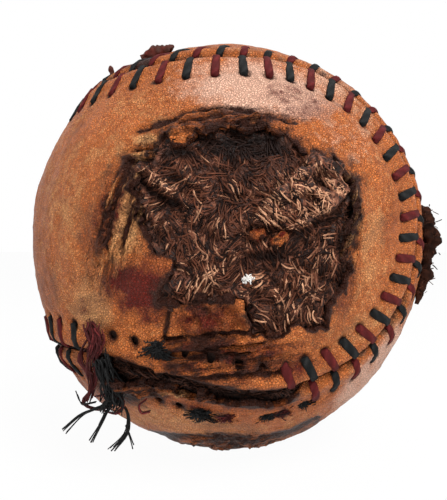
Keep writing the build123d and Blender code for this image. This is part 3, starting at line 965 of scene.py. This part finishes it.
def make_panel(panel, name, look):
    """One figure-eight of leather, cut along the seam, raised, creased and given its thickness."""
    def by_seam(directions):
        side = seam_distance(directions) * panel
        return (side > -1.5) & (side < 6.5) & (directions[:, 1] < 0.1)

    def by_tear(directions):
        near = (panel == FRONT) & (np.abs(tear_distance(directions)) < 4.5)
        return near | (by_seam(directions) & (directions[:, 2] < -0.3) & (directions[:, 1] < -0.25))

    directions, triangles = ball_mesh(7, (by_seam, by_tear))
    points = directions * BALL
    gape = opening_mask(to_pixel(points), directions)
    field = panel * seam_distance(directions) - SEAM_HALF_GAP
    if panel == FRONT:
        field = field - gape * (0.2 + 0.25 * ripple(points, 2.2, 14))
        field = np.minimum(field, tear_distance(directions))
    else:
        field = field - gape * (2.5 + 0.4 * ripple(points, 4.0, 15) + 0.2 * ripple(points, 1.5, 16))
    holes, bare = hole_directions(panel)
    field = np.minimum(field, nearest(directions, holes[bare]) - 0.6)
    directions, faces = clip_mesh(directions, triangles, field)
    directions = unit(directions)
    material = leather_material(look, name + "_leather")
    piece = add_piece(name, on_skin(directions, panel), faces, material, cover_masks(directions, panel))
    apply_modifier(piece, "SOLIDIFY", thickness=look.leather_thickness, offset=-1.0)
    return piece


# Wool
def wool_height(points, pixels):
    """Height of the matted wool's surface above the ball's sphere."""
    height = -0.75 + 0.34 * ripple(points, 5.0, 70) + 0.22 * ripple(points, 2.2, 71)
    height += 0.1 * ripple(points, 1.0, 72)
    mound = 1 - ease(-5.0, 2.5, outline_distance(pixels, MOUND_PX))
    height += mound * (1.9 + 0.3 * ripple(points, 2.8, 73))
    height += 1.5 * patch(pixels, (257, 234), (8, 7)) + 1.5 * patch(pixels, (279, 239), (9, 7))
    height += 1.3 * along_lines(pixels, [WOOL_RIDGE_PX], 6.0)
    height -= 0.9 * along_lines(pixels, [WOOL_SLIT_PX], 4.0)
    height -= 0.8 * patch(pixels, (260, 148), (34, 12), 0, 0.5)
    height -= 0.7 * patch(pixels, (266, 256), (22, 7), 0, 0.5)
    height -= 0.6 * along_lines(pixels, [WOOL_GROOVE_PX], 4.0)
    height += 0.5 * patch(pixels, (312, 285), (26, 44), 10, 0.5)
    return np.maximum(height, -1.33)


def painted_wool_shade(pixels):
    """Painted shade on the wool, from 0 to 1: in its hollows, along the slit and the groove, under the
    mound's lower edge and just inside the mouth's rim.
    """
    hollows = [
        patch(pixels, (246, 146), (58, 15), 0, 0.4),
        patch(pixels, (266, 256), (24, 7)),
        patch(pixels, (180, 152), (28, 8)),
        along_lines(pixels, [WOOL_SLIT_PX, WOOL_GROOVE_PX], 4.5),
        0.9 * along_lines(pixels, [[(290, 239), (318, 225), (344, 210)]], 5.0),
        0.6 * ease(-6.0, 0.0, outline_distance(pixels, TEAR_PX)),
    ]
    return np.maximum.reduce(hollows)


def lay_fibres(rng, starts, angles, lengths, arch, lift, bend, steps=6):
    """Paths of fibres that lie on the wool, from pixels along headings that bend at each step."""
    count = len(starts)
    place = np.array(starts, float)
    track = [place.copy()]
    angle = np.array(angles, float)
    for _ in range(steps):
        place = place + (lengths * PX_PER_MM / steps)[:, None] * np.stack([np.cos(angle), np.sin(angle)], 1)
        angle = angle + bend + rng.normal(0, 0.06, count)
        track.append(place.copy())
    track = np.stack(track, 1)
    flat = track.reshape(-1, 2)
    rise = wool_height(on_ball(flat), flat).reshape(count, -1)
    rise = rise + lift[:, None] + arch[:, None] * np.sin(np.linspace(0, math.pi, steps + 1))
    return on_ball(flat, rise.ravel()).reshape(count, steps + 1, 3)


def wool_heading(rng, pixels):
    """Which way the fibres lie at each pixel."""
    points = on_ball(pixels)
    angle = math.pi * (0.5 + 0.55 * ripple(points, 9.0, 80))
    upright = patch(pixels, *UPRIGHT_WOOL_PX)
    flow = patch(pixels, (300, 195), (58, 42), -30)
    angle = np.where(rng.uniform(size=len(pixels)) < 0.95 * upright, math.radians(103), angle)
    angle = np.where(rng.uniform(size=len(pixels)) < 0.6 * flow, math.radians(40), angle)
    ridge = along_lines(pixels, [WOOL_RIDGE_PX], 7.0)
    return np.where(rng.uniform(size=len(pixels)) < 0.9 * ridge, math.radians(40), angle)


def wool_lay(points, pixels):
    """How much of the felt's fibre lies at each of four angles."""
    upright = patch(pixels, *UPRIGHT_WOOL_PX)
    ridge = along_lines(pixels, [WOOL_RIDGE_PX], 8.0)
    loose = np.clip(1 - 0.8 * upright, 0, 1)
    return {
        "lay_down": np.clip(0.35 + upright + 0.3 * ripple(points, 6.0, 90), 0.1, 1),
        "lay_slant": np.clip(0.7 + ridge + 0.4 * ripple(points, 6.0, 91), 0.1, 1) * loose,
        "lay_back": np.clip(0.6 + 0.4 * ripple(points, 6.0, 92), 0.1, 1) * loose * (1 - 0.8 * ridge),
        "lay_flat": np.clip(0.3 + 0.5 * ripple(points, 6.0, 93), 0, 1) * loose,
    }


def pick_pixels(rng, count, outline, margin):
    """Random pixels that lie at least a margin inside an outline."""
    ring = np.asarray(outline, float)
    places = np.empty((0, 2))
    while len(places) < count:
        tries = rng.uniform(ring.min(0), ring.max(0), (2 * count, 2))
        places = np.vstack([places, tries[outline_distance(tries, outline) < -margin]])
    return places[:count]


def add_strands(name, paths, radii, tones, material, slot, *nodes, sides=3, flat=1.0):
    """One piece of many fibres, each with one tone or a tone for each of its points."""
    points, faces, uv = tubes(paths, radii, sides, flat)
    shades = [np.broadcast_to(tone, len(path)) for tone, path in zip(tones, paths)]
    piece = add_piece(name, points, faces, material, {"tone": np.repeat(np.concatenate(shades), sides)}, uv)
    finish_piece(piece, slot, *nodes)


# Loose pieces
def add_roll(name, guide, depth, lumps, material, slot, seed, *nodes):
    """A lumpy closed roll along pixels with a half width in pixels at each."""
    guide = np.array(guide, float)
    rings = 6 * len(guide)
    sides = 16
    middle = smooth_path(at_depth(guide[:, :2], np.full(len(guide), depth)), rings)
    places = np.linspace(0, len(guide) - 1, rings)
    wide = np.interp(places, np.arange(len(guide)), guide[:, 2]) / PX_PER_MM * 1.1
    points, faces, uv = tubes([middle], [wide], sides)
    axis = np.repeat(middle, sides, axis=0)
    lump = 1 + lumps * (ripple(points, 2.2, seed) + 0.6 * ripple(points, 0.9, seed + 1))
    points = axis + (points - axis) * lump[:, None]
    mottle = ripple(points, 1.5, seed + 2)
    values = {"tone": (0.14 + 0.12 * mottle).clip(0, 1), "rust": (0.5 + 0.2 * mottle).clip(0, 1),
              "soil_and_shade": (0.2 - 0.3 * mottle).clip(0, 1)}
    finish_piece(add_piece(name, points, faces, material, values, uv), slot, *nodes)


def thread_bundle(rng, guide, count, apart, fray, points=14):
    """Strands that follow a guide of pixel, pixel, depth; they part by the fray at its end."""
    guide = np.asarray(guide, float)
    middle = smooth_path(at_depth(guide[:, :2], guide[:, 2]), points)
    share = np.linspace(0, 1, points)[:, None]
    paths = []
    for _ in range(count):
        offset = rng.normal(0, apart, 3)
        drift = rng.normal(0, fray, 3)
        wave = rng.normal(0, apart * 0.5, 3) * np.sin(share * rng.uniform(3, 8) + rng.uniform(0, 6))
        paths.append(middle + offset * (1 - 0.4 * share) + drift * share ** 2 + wave)
    return paths


def cut_tuft(rng, leg, count, length, droop):
    """Fibres that fan out of an awl hole, where a stitch was cut."""
    hole, apex = leg_ends(*leg)
    root = on_skin(hole[None], leg[0], -0.3)[0]
    side = unit(np.cross(hole, apex - hole))
    along = np.cross(side, hole)
    paths = []
    for _ in range(count):
        lean = side * rng.normal(0, 0.8) + along * rng.normal(droop, 0.65)
        start = root + side * rng.normal(0, 0.45) + along * rng.normal(0, 0.4)
        reach = rng.uniform(0.35, 1.0) * length
        share = np.linspace(0, 1, 6)[:, None]
        path = start + hole * reach * 0.75 * np.sin(share * 1.9) + lean * reach * share ** 1.3
        paths.append(path + rng.normal(0, 0.06, path.shape) * share)
    return paths


# Settings
def colour_property(name, description, default):
    """A colour that a user can change."""
    return FloatVectorProperty(name=name, description=description, default=default, subtype="COLOR",
                               size=3, min=0, max=1)


class BallLook(bpy.types.PropertyGroup):
    """Colours and sizes of the worn ball."""
    leather_tan: colour_property("Tan", "Leather's main colour", (0.63, 0.18, 0.044))
    # Also the painted highlight on the crests of the folds across.
    leather_orange: colour_property("Orange", "Leather's warm stretches", (0.72, 0.19, 0.04))
    leather_brown: colour_property("Brown", "Leather's darker mottle", (0.17, 0.042, 0.016))
    # Also painted glints on the grain, painted highlights on the crests of the folds down, and painted
    # highlights in some pale ovals.
    leather_pale: colour_property("Pale", "Leather rubbed pale", (0.84, 0.41, 0.16))
    # Also the painted sheen at the top of the ball and the painted highlight on the lower right limb.
    leather_scuff_and_sheen: colour_property("Scuff", "Pinkish scuffed leather", (0.89, 0.51, 0.36))
    leather_rust: colour_property("Rust", "Rust-red stains", (0.12, 0.009, 0.004))
    # Also the painted shade in the creases and in the grooves of folds.
    leather_dark: colour_property("Soil", "Soiled and burnt edges", (0.036, 0.01, 0.005))
    thread_red: colour_property("Red thread", "Faded red thread", (0.06, 0.007, 0.007))
    thread_black: colour_property("Black thread", "Faded black thread", (0.006, 0.006, 0.006))
    wool_dark: colour_property("Dark wool", "Wool in the shade", (0.008, 0.003, 0.002))
    wool_middle: colour_property("Brown wool", "Soiled wool", (0.17, 0.056, 0.029))
    wool_light: colour_property("Light wool", "Clean fibres", (0.68, 0.35, 0.2))
    leather_thickness: FloatProperty(
        name="Leather thickness", description="Thickness of the cover", default=1.1 * MM,
        unit="LENGTH", subtype="DISTANCE")
    fibre_multiple: IntProperty(
        name="Fibre multiple", description="Times the usual count of fibres", default=1, min=1, max=3)


class BASEBALL_OT_stage(bpy.types.Operator):
    """Adds the pale floor, the soft lamps and the camera"""
    bl_idname = "baseball.stage"
    bl_label = "Stage"

    def execute(self, context):
        scene = context.scene
        scene.view_settings.view_transform = "Standard"
        self.add_floor()
        self.add_lamps(scene)
        self.add_camera(scene)
        return {"FINISHED"}

    def add_floor(self):
        """A wide floor just under the ball, white to the camera but for the ball's shadow."""
        bpy.ops.object.select_all(action="DESELECT")
        bpy.ops.mesh.primitive_plane_add(size=6.0, location=(0, 0, 0))
        floor = bpy.context.object
        floor.name = "floor"
        floor.data.transform(floor.matrix_world)
        for vertex in floor.data.vertices:
            vertex.co.z = min(cad_box[0][2], -BALL * MM) - 0.0012
        material, tree, shader, _ = start_material("floor_white", 0.9)
        shader.inputs["Base Color"].default_value = (0.9, 0.9, 0.9, 1)
        white_share = compute(tree, "MULTIPLY", background_rays(tree), 0.965)
        glow = place_node(tree, "ShaderNodeEmission", {"Color": (1, 1, 1), "Strength": 1.0})
        blend = place_node(tree, "ShaderNodeMixShader", {"Fac": white_share})
        tree.links.new(shader.outputs[0], blend.inputs[1])
        tree.links.new(glow.outputs[0], blend.inputs[2])
        tree.links.new(blend.outputs[0], tree.nodes["Material Output"].inputs["Surface"])
        floor.data.materials.append(material)

    def add_lamps(self, scene):
        """A plain world light and soft lamps that face the ball."""
        world = bpy.data.worlds.new("studio")
        scene.world = world
        world.use_nodes = True
        tree = world.node_tree
        strength = compute(tree, "MULTIPLY_ADD", background_rays(tree), 1 - PLAIN_WORLD, PLAIN_WORLD)
        feed(tree, tree.nodes["Background"].inputs["Color"], (1, 1, 1))
        feed(tree, tree.nodes["Background"].inputs["Strength"], strength)
        for name, place, size, power in LAMPS:
            light = bpy.data.lights.new(name, "AREA")
            light.size = size
            light.energy = power
            lamp = bpy.data.objects.new(name, light)
            lamp.location = place
            lamp.rotation_euler = (-lamp.location).to_track_quat("-Z", "Y").to_euler()
            bpy.context.collection.objects.link(lamp)

    def add_camera(self, scene):
        """A camera that frames the ball as the photograph does."""
        camera = bpy.data.cameras.new("camera")
        camera.sensor_fit = "HORIZONTAL"
        camera.sensor_width = 36.0
        camera.lens = FOCAL_PX / IMAGE_SIZE[0] * camera.sensor_width
        camera.shift_x = (IMAGE_SIZE[0] / 2 - BALL_CENTRE_PX[0]) / IMAGE_SIZE[0]
        camera.shift_y = (BALL_CENTRE_PX[1] - IMAGE_SIZE[1] / 2) / IMAGE_SIZE[0]
        camera.clip_start = 0.01
        eye = bpy.data.objects.new("camera", camera)
        eye.location = (0, -CAMERA_DISTANCE * MM, 0)
        eye.rotation_euler = (math.pi / 2, 0, 0)
        bpy.context.collection.objects.link(eye)
        scene.camera = eye


class BASEBALL_OT_cover(bpy.types.Operator):
    """Makes the two leather panels, with their torn mouth, welts, creases and awl holes"""
    bl_idname = "baseball.cover"
    bl_label = "Leather cover"

    def execute(self, context):
        look = context.scene.ball_look
        finish_piece(make_panel(FRONT, "front_leather", look), "worn_leather", "front_cover_panel")
        finish_piece(make_panel(REAR, "rear_leather", look), "worn_leather", "rear_cover_panel")
        return {"FINISHED"}


class BASEBALL_OT_stitches(bpy.types.Operator):
    """Makes the sound stitch legs, in one piece for each panel and colour"""
    bl_idname = "baseball.stitches"
    bl_label = "Stitches"

    def execute(self, context):
        look = context.scene.ball_look
        red = thread_material("red_thread", look.thread_red, np.array(look.thread_red) * 2.2)
        black = thread_material("black_thread", look.thread_black, np.array(look.thread_black) * 3.5)
        for panel, side in ((FRONT, "front"), (REAR, "rear")):
            sound = [leg for leg in all_legs() if leg[0] == panel and not is_open(*leg)]
            for colour, material in (("red", red), ("black", black)):
                legs = [leg for leg in sound if is_red(*leg) == (colour == "red")]
                paths = [self.leg_path(leg) for leg in legs]
                points, faces, uv = tubes(paths, [LEG_HALF_WIDTHS] * len(legs), 8, 0.42)
                piece = add_piece(f"{side}_{colour}_threads", points, faces, material, None, uv)
                finish_piece(piece, f"{colour}_thread", f"{side}_{colour}_stitches")
        return {"FINISHED"}

    def leg_path(self, leg):
        """The middle line of a stitch leg, out of its awl hole and down into the seam."""
        hole, apex = leg_ends(*leg)
        track = unit(hole + (apex - hole) * LEG_SHARES[:, None])
        skin = np.linalg.norm(on_skin(track, leg[0]), axis=1)
        level = np.maximum(skin, skin[2:5].mean() - 0.35)
        return track * (level + LEG_RISE)[:, None]


class BASEBALL_OT_wool(bpy.types.Operator):
    """Fills the torn mouth with matted wool and its loose fibres"""
    bl_idname = "baseball.wool"
    bl_label = "Matted wool"

    def execute(self, context):
        look = context.scene.ball_look
        rng = np.random.default_rng(7)
        self.add_mat(look)
        self.add_fibres(look, rng)
        crumb = leather_material(look, "crumb_leather")
        add_roll("leather_crumb_left", LEFT_CRUMB_PX, -36.9, 0.18, crumb, "worn_leather", 54)
        add_roll("leather_crumb_right", RIGHT_CRUMB_PX, -36.7, 0.18, crumb, "worn_leather", 57)
        self.add_seam_fibres(look, rng)
        self.add_fluff(rng)
        return {"FINISHED"}

    def add_mat(self, look):
        """The felt that fills the mouth and tucks under its edge."""
        def near(directions):
            pixels = to_pixel(directions * BALL)
            return (outline_distance(pixels, TEAR_PX) < 22) & (directions[:, 1] < MOUTH_LIMIT_Y)

        directions, triangles = ball_mesh(6, (near, near, near))
        pixels = to_pixel(directions * BALL)
        away = np.where(directions[:, 1] < MOUTH_LIMIT_Y, outline_distance(pixels, TEAR_PX), 99.0)
        directions, faces = clip_mesh(directions, triangles, 14.0 - away)
        directions = unit(directions)
        points = directions * BALL
        pixels = to_pixel(points)
        tuck = ease(2.0, 9.0, outline_distance(pixels, TEAR_PX))
        height = wool_height(points, pixels) * (1 - tuck) - 1.3 * tuck
        # Painted light and shade: the mat is lighter where it stands high and darker where it lies low or
        # tucks under the leather, and painted shade darkens its hollows.
        tone = np.clip(0.6 + 0.2 * height + 0.12 * ripple(points, 2.0, 75), 0.05, 1.2)
        values = {"tone": tone * (1 - painted_wool_shade(pixels)), **wool_lay(points, pixels)}
        material = felt_material(look, "wool_mat")
        piece = add_piece("wool_mat", directions * (BALL + height)[:, None], faces, material, values)
        apply_modifier(piece, "SOLIDIFY", thickness=0.1 * MM, offset=-1.0)
        finish_piece(piece, "brown_wool", "matted_wool")

    def add_fibres(self, look, rng):
        """Two layers of fibre in combed clumps, the upper one more arched and painted paler, with painted
        shade on the lower one.
        """
        material = fibre_material("wool_fibre", look.wool_dark, look.wool_middle, look.wool_light, 0.55, 0.12)
        # Each layer's last number is its brightness: the under layer is darker, as painted shade beneath the
        # upper one.
        layers = (("wool_fibres_under", 300, 9, (0.09, 0.17), (-0.02, 0.06), 0.05, 1.0),
                  ("wool_fibres_over", 130, 8, (0.07, 0.14), (0.06, 0.18), 0.2, 1.25))
        for name, clumps, strands, thickness, lift, arch, brightness in layers:
            clumps *= look.fibre_multiple
            total = clumps * strands
            centres = pick_pixels(rng, clumps, TEAR_PX, 3.0)
            heading = wool_heading(rng, centres) + rng.normal(0, 0.35, clumps)
            clump = np.repeat(np.arange(clumps), strands)
            rank = np.tile(np.arange(strands) - (strands - 1) / 2, clumps)
            angles = heading[clump] + 0.04 * rank + rng.normal(0, 0.12, total)
            along = np.stack([np.cos(angles), np.sin(angles)], 1)
            lengths = rng.uniform(1.2, 3.4, total)
            shift = rng.normal(0, 3.0, total) - lengths / 2 * PX_PER_MM
            across = rank * 2.4 + rng.normal(0, 0.6, total)
            starts = centres[clump] + along * shift[:, None] + along[:, ::-1] * [-1, 1] * across[:, None]
            bend = rng.normal(0, 0.14, clumps)[clump] + rng.normal(0, 0.05, total)
            arches = rng.uniform(0, 2 * arch, total)
            paths = lay_fibres(rng, starts, angles, lengths, arches, rng.uniform(*lift, total), bend)
            track = to_pixel(paths.reshape(-1, 3))
            # Painted light and shade: fibres are lighter where the wool stands high and darker in its painted
            # shade; a patch at the mouth's lower left is brighter, and each clump gets a random strength.
            glow = 0.75 + 0.3 * (wool_height(on_ball(track), track) + 0.6)
            glow += 0.35 * patch(track, (215, 280), (46, 20))
            glow = (glow * (1 - 0.92 * painted_wool_shade(track))).reshape(total, -1)
            glow = glow * rng.uniform(0.5, 1.15, clumps)[clump][:, None]
            tones = (rng.beta(0.45, 0.75, total)[:, None] * brightness * glow).clip(0, 1)
            inside = outline_distance(starts, TEAR_PX) < 1.0
            inside &= outline_distance(to_pixel(paths[:, -1]), TEAR_PX) < 2.0
            radii = rng.uniform(*thickness, total)
            add_strands(name, paths[inside], radii[inside], tones[inside], material, "brown_wool",
                        sides=4, flat=0.6)

    def add_seam_fibres(self, look, rng):
        """Shreds of the winding that show in the open seam."""
        count = 420
        line = smooth_path(OPEN_SEAM_PX, 200)
        starts = line[rng.integers(0, len(line), count)] + rng.normal(0, 2.6, (count, 2))
        angles = rng.normal(0.15, 0.5, count) + math.pi * rng.integers(0, 2, count)
        paths = lay_fibres(rng, starts, angles, rng.uniform(1.0, 3.0, count), rng.uniform(0, 0.3, count),
                           rng.uniform(-0.5, 0.1, count), rng.normal(0, 0.2, count))
        dark = fibre_material("seam_shreds", look.wool_dark, look.wool_middle, look.leather_brown, 0.8)
        radii = rng.uniform(0.06, 0.13, count)
        add_strands("seam_shreds", paths, radii, 0.5 * rng.beta(1, 3, count), dark, "brown_wool")

    def add_fluff(self, rng):
        """A speck of clean white yarn in the middle of the wool."""
        count = 60
        starts = np.array([247.0, 279.0]) + rng.normal(0, 1, (count, 2)) * [2.2, 1.5]
        angles = rng.uniform(0, 2 * math.pi, count)
        paths = lay_fibres(rng, starts, angles, rng.uniform(0.2, 0.6, count), rng.uniform(0, 0.2, count),
                           rng.uniform(0.15, 0.4, count), rng.normal(0, 0.3, count))
        white = fibre_material("clean_yarn", (0.6, 0.55, 0.5), (0.8, 0.77, 0.73), (0.9, 0.88, 0.85), 0.8)
        radii = rng.uniform(0.08, 0.13, count)
        add_strands("white_fluff", paths, radii, rng.uniform(0.3, 1, count), white, "white_yarn")


class BASEBALL_OT_cut_ends(bpy.types.Operator):
    """Makes the frayed ends of the stitches that were cut"""
    bl_idname = "baseball.cut_ends"
    bl_label = "Cut ends"

    def execute(self, context):
        look = context.scene.ball_look
        rng = np.random.default_rng(21)
        cut = [(FRONT, *leg) for leg in CUT_FRONT_LEGS] + [(REAR, *leg) for leg in CUT_REAR_LEGS]
        for colour, shade in (("red", look.thread_red), ("black", look.thread_black)):
            paths = []
            for leg in cut:
                if is_red(*leg) != (colour == "red"):
                    continue
                big = leg in BIG_TUFT_LEGS
                droop = 0.7 if leg[0] == FRONT else -0.2
                paths += cut_tuft(rng, leg, 300 if big else 150, 1.75 if big else 1.25, droop)
            shade = np.array(shade)
            material = fibre_material(f"{colour}_cut_thread", shade * 0.6, shade, shade * 2.5)
            radii = rng.uniform(0.06, 0.12, len(paths))
            tones = rng.beta(2, 3, len(paths))
            slot = f"{colour}_thread"
            add_strands(f"{colour}_cut_ends", paths, radii, tones, material, slot, f"{colour}_thread_stubs")
        return {"FINISHED"}


class BASEBALL_OT_loose_threads(bpy.types.Operator):
    """Makes the tangle of red and black thread at the lower left"""
    bl_idname = "baseball.loose_threads"
    bl_label = "Loose threads"

    def execute(self, context):
        look = context.scene.ball_look
        rng = np.random.default_rng(33)
        for colour, bundles, shade, node in (("red", RED_BUNDLES, look.thread_red, "red_thread_hank"),
                                             ("black", BLACK_BUNDLES, look.thread_black, "frayed_black_end")):
            paths = []
            for guide, count, apart, fray in bundles:
                paths += thread_bundle(rng, guide, count, apart, fray)
            shade = np.array(shade)
            material = fibre_material(f"{colour}_loose_thread", shade * 0.6, shade, shade * 3.5)
            radii = rng.uniform(0.07, 0.15, len(paths))
            tones = rng.beta(2, 3, len(paths))
            slot = f"{colour}_thread"
            add_strands(f"{colour}_loose_threads", paths, radii, tones, material, slot, node, sides=5)
        return {"FINISHED"}


class BASEBALL_OT_rim_scraps(bpy.types.Operator):
    """Makes the dark tuft at the right rim and the curled scrap at the upper left"""
    bl_idname = "baseball.rim_scraps"
    bl_label = "Rim scraps"

    def execute(self, context):
        look = context.scene.ball_look
        rng = np.random.default_rng(41)
        middle = np.array(look.wool_middle)
        wool = fibre_material("rim_wool", look.wool_dark, middle * 0.45, middle, 0.9, 0.08)
        add_roll("rim_tuft", RIM_TUFT_PX, -12.0, 0.2, wool, "brown_wool", 50, "side_fibre_tuft")
        self.add_tuft_fibres(rng, wool)
        dark = fibre_material("scrap_leather", look.leather_dark, look.leather_rust, look.leather_brown, 0.7)
        add_roll("rim_scrap", RIM_SCRAP_PX, -11.5, 0.2, dark, "worn_leather", 60, "top_leather_flap")
        add_roll("rim_spike", RIM_SPIKE_PX, -12.5, 0.2, dark, "worn_leather", 61)
        return {"FINISHED"}

    def add_tuft_fibres(self, rng, material):
        """Short fibres that stand off the dark tuft."""
        count = 220
        guide = np.array(RIM_TUFT_PX, float)
        pick = rng.integers(1, len(guide) - 1, count)
        roots = guide[pick, :2] + rng.normal(0, 1, (count, 2)) * (guide[pick, 2:3] * 0.45)
        start = at_depth(roots, rng.uniform(-14.0, -10.0, count))
        heading = unit(start) * 0.3 + rng.normal(0, 0.5, (count, 3))
        share = np.linspace(0, 1, 6)[None, :, None]
        reach = rng.uniform(0.4, 1.1, count)[:, None, None]
        curl = rng.normal(0, 0.3, (count, 1, 3)) * share ** 2
        paths = start[:, None] + heading[:, None] * reach * share + curl
        radii = rng.uniform(0.05, 0.12, count)
        add_strands("rim_tuft_fibres", paths, radii, rng.beta(1.2, 3, count), material, "brown_wool")


class BASEBALL_OT_inner(bpy.types.Operator):
    """Gives the core, the rubber and the windings their finishes"""
    bl_idname = "baseball.inner"
    bl_label = "Inner layers"

    def execute(self, context):
        look = context.scene.ball_look
        soiled = np.array(look.wool_middle) * 0.3
        layers = (
            ("cork_grain", (0.3, 0.17, 0.08), (0.55, 0.36, 0.2), 900.0, 0.8, ["cork_core"]),
            ("black_rubber_skin", (0.012, 0.012, 0.012), (0.03, 0.03, 0.03), 500.0, 0.5,
             ["upper_rubber_cup", "lower_rubber_cup"]),
            ("red_rubber_skin", (0.25, 0.03, 0.025), (0.4, 0.06, 0.05), 500.0, 0.55,
             ["cup_washer", "outer_rubber_layer"]),
            ("grey_yarn_wind", (0.2, 0.19, 0.18), (0.42, 0.4, 0.38), 1200.0, 0.9,
             ["first_winding", "third_winding"]),
            ("white_yarn_wind", (0.55, 0.52, 0.46), (0.8, 0.77, 0.7), 1200.0, 0.9, ["second_winding"]),
            ("soiled_wind", look.wool_dark, soiled, 1200.0, 0.9, ["finish_winding"]),
        )
        for name, dark, light, scale, roughness, nodes in layers:
            material = plain_layer_material(name, dark, light, scale, roughness)
            for node in nodes:
                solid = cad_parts[node]
                solid.data.materials.clear()
                solid.data.materials.append(material)
        return {"FINISHED"}


class BASEBALL_PT_dress(bpy.types.Panel):
    """Lists the steps that dress the ball"""
    bl_idname = "BASEBALL_PT_dress"
    bl_label = "Worn baseball"
    bl_space_type = "VIEW_3D"
    bl_region_type = "UI"
    bl_category = "Baseball"

    def draw(self, context):
        for step in STEPS:
            self.layout.operator(step.bl_idname)


STEPS = (BASEBALL_OT_stage, BASEBALL_OT_inner, BASEBALL_OT_cover, BASEBALL_OT_stitches, BASEBALL_OT_wool,
         BASEBALL_OT_cut_ends, BASEBALL_OT_loose_threads, BASEBALL_OT_rim_scraps)
CLASSES = (BallLook, *STEPS, BASEBALL_PT_dress)


def register():
    """Adds the settings, the steps and the panel."""
    for item in CLASSES:
        bpy.utils.register_class(item)
    bpy.types.Scene.ball_look = PointerProperty(type=BallLook)


def unregister():
    """Takes the panel, the steps and the settings away."""
    del bpy.types.Scene.ball_look
    for item in reversed(CLASSES):
        bpy.utils.unregister_class(item)


def main():
    """Dresses the ball, one step after another."""
    register()
    bpy.ops.baseball.stage()
    bpy.ops.baseball.inner()
    bpy.ops.baseball.cover()
    bpy.ops.baseball.stitches()
    bpy.ops.baseball.wool()
    bpy.ops.baseball.cut_ends()
    bpy.ops.baseball.loose_threads()
    bpy.ops.baseball.rim_scraps()


if __name__ == "__main__":
    main()
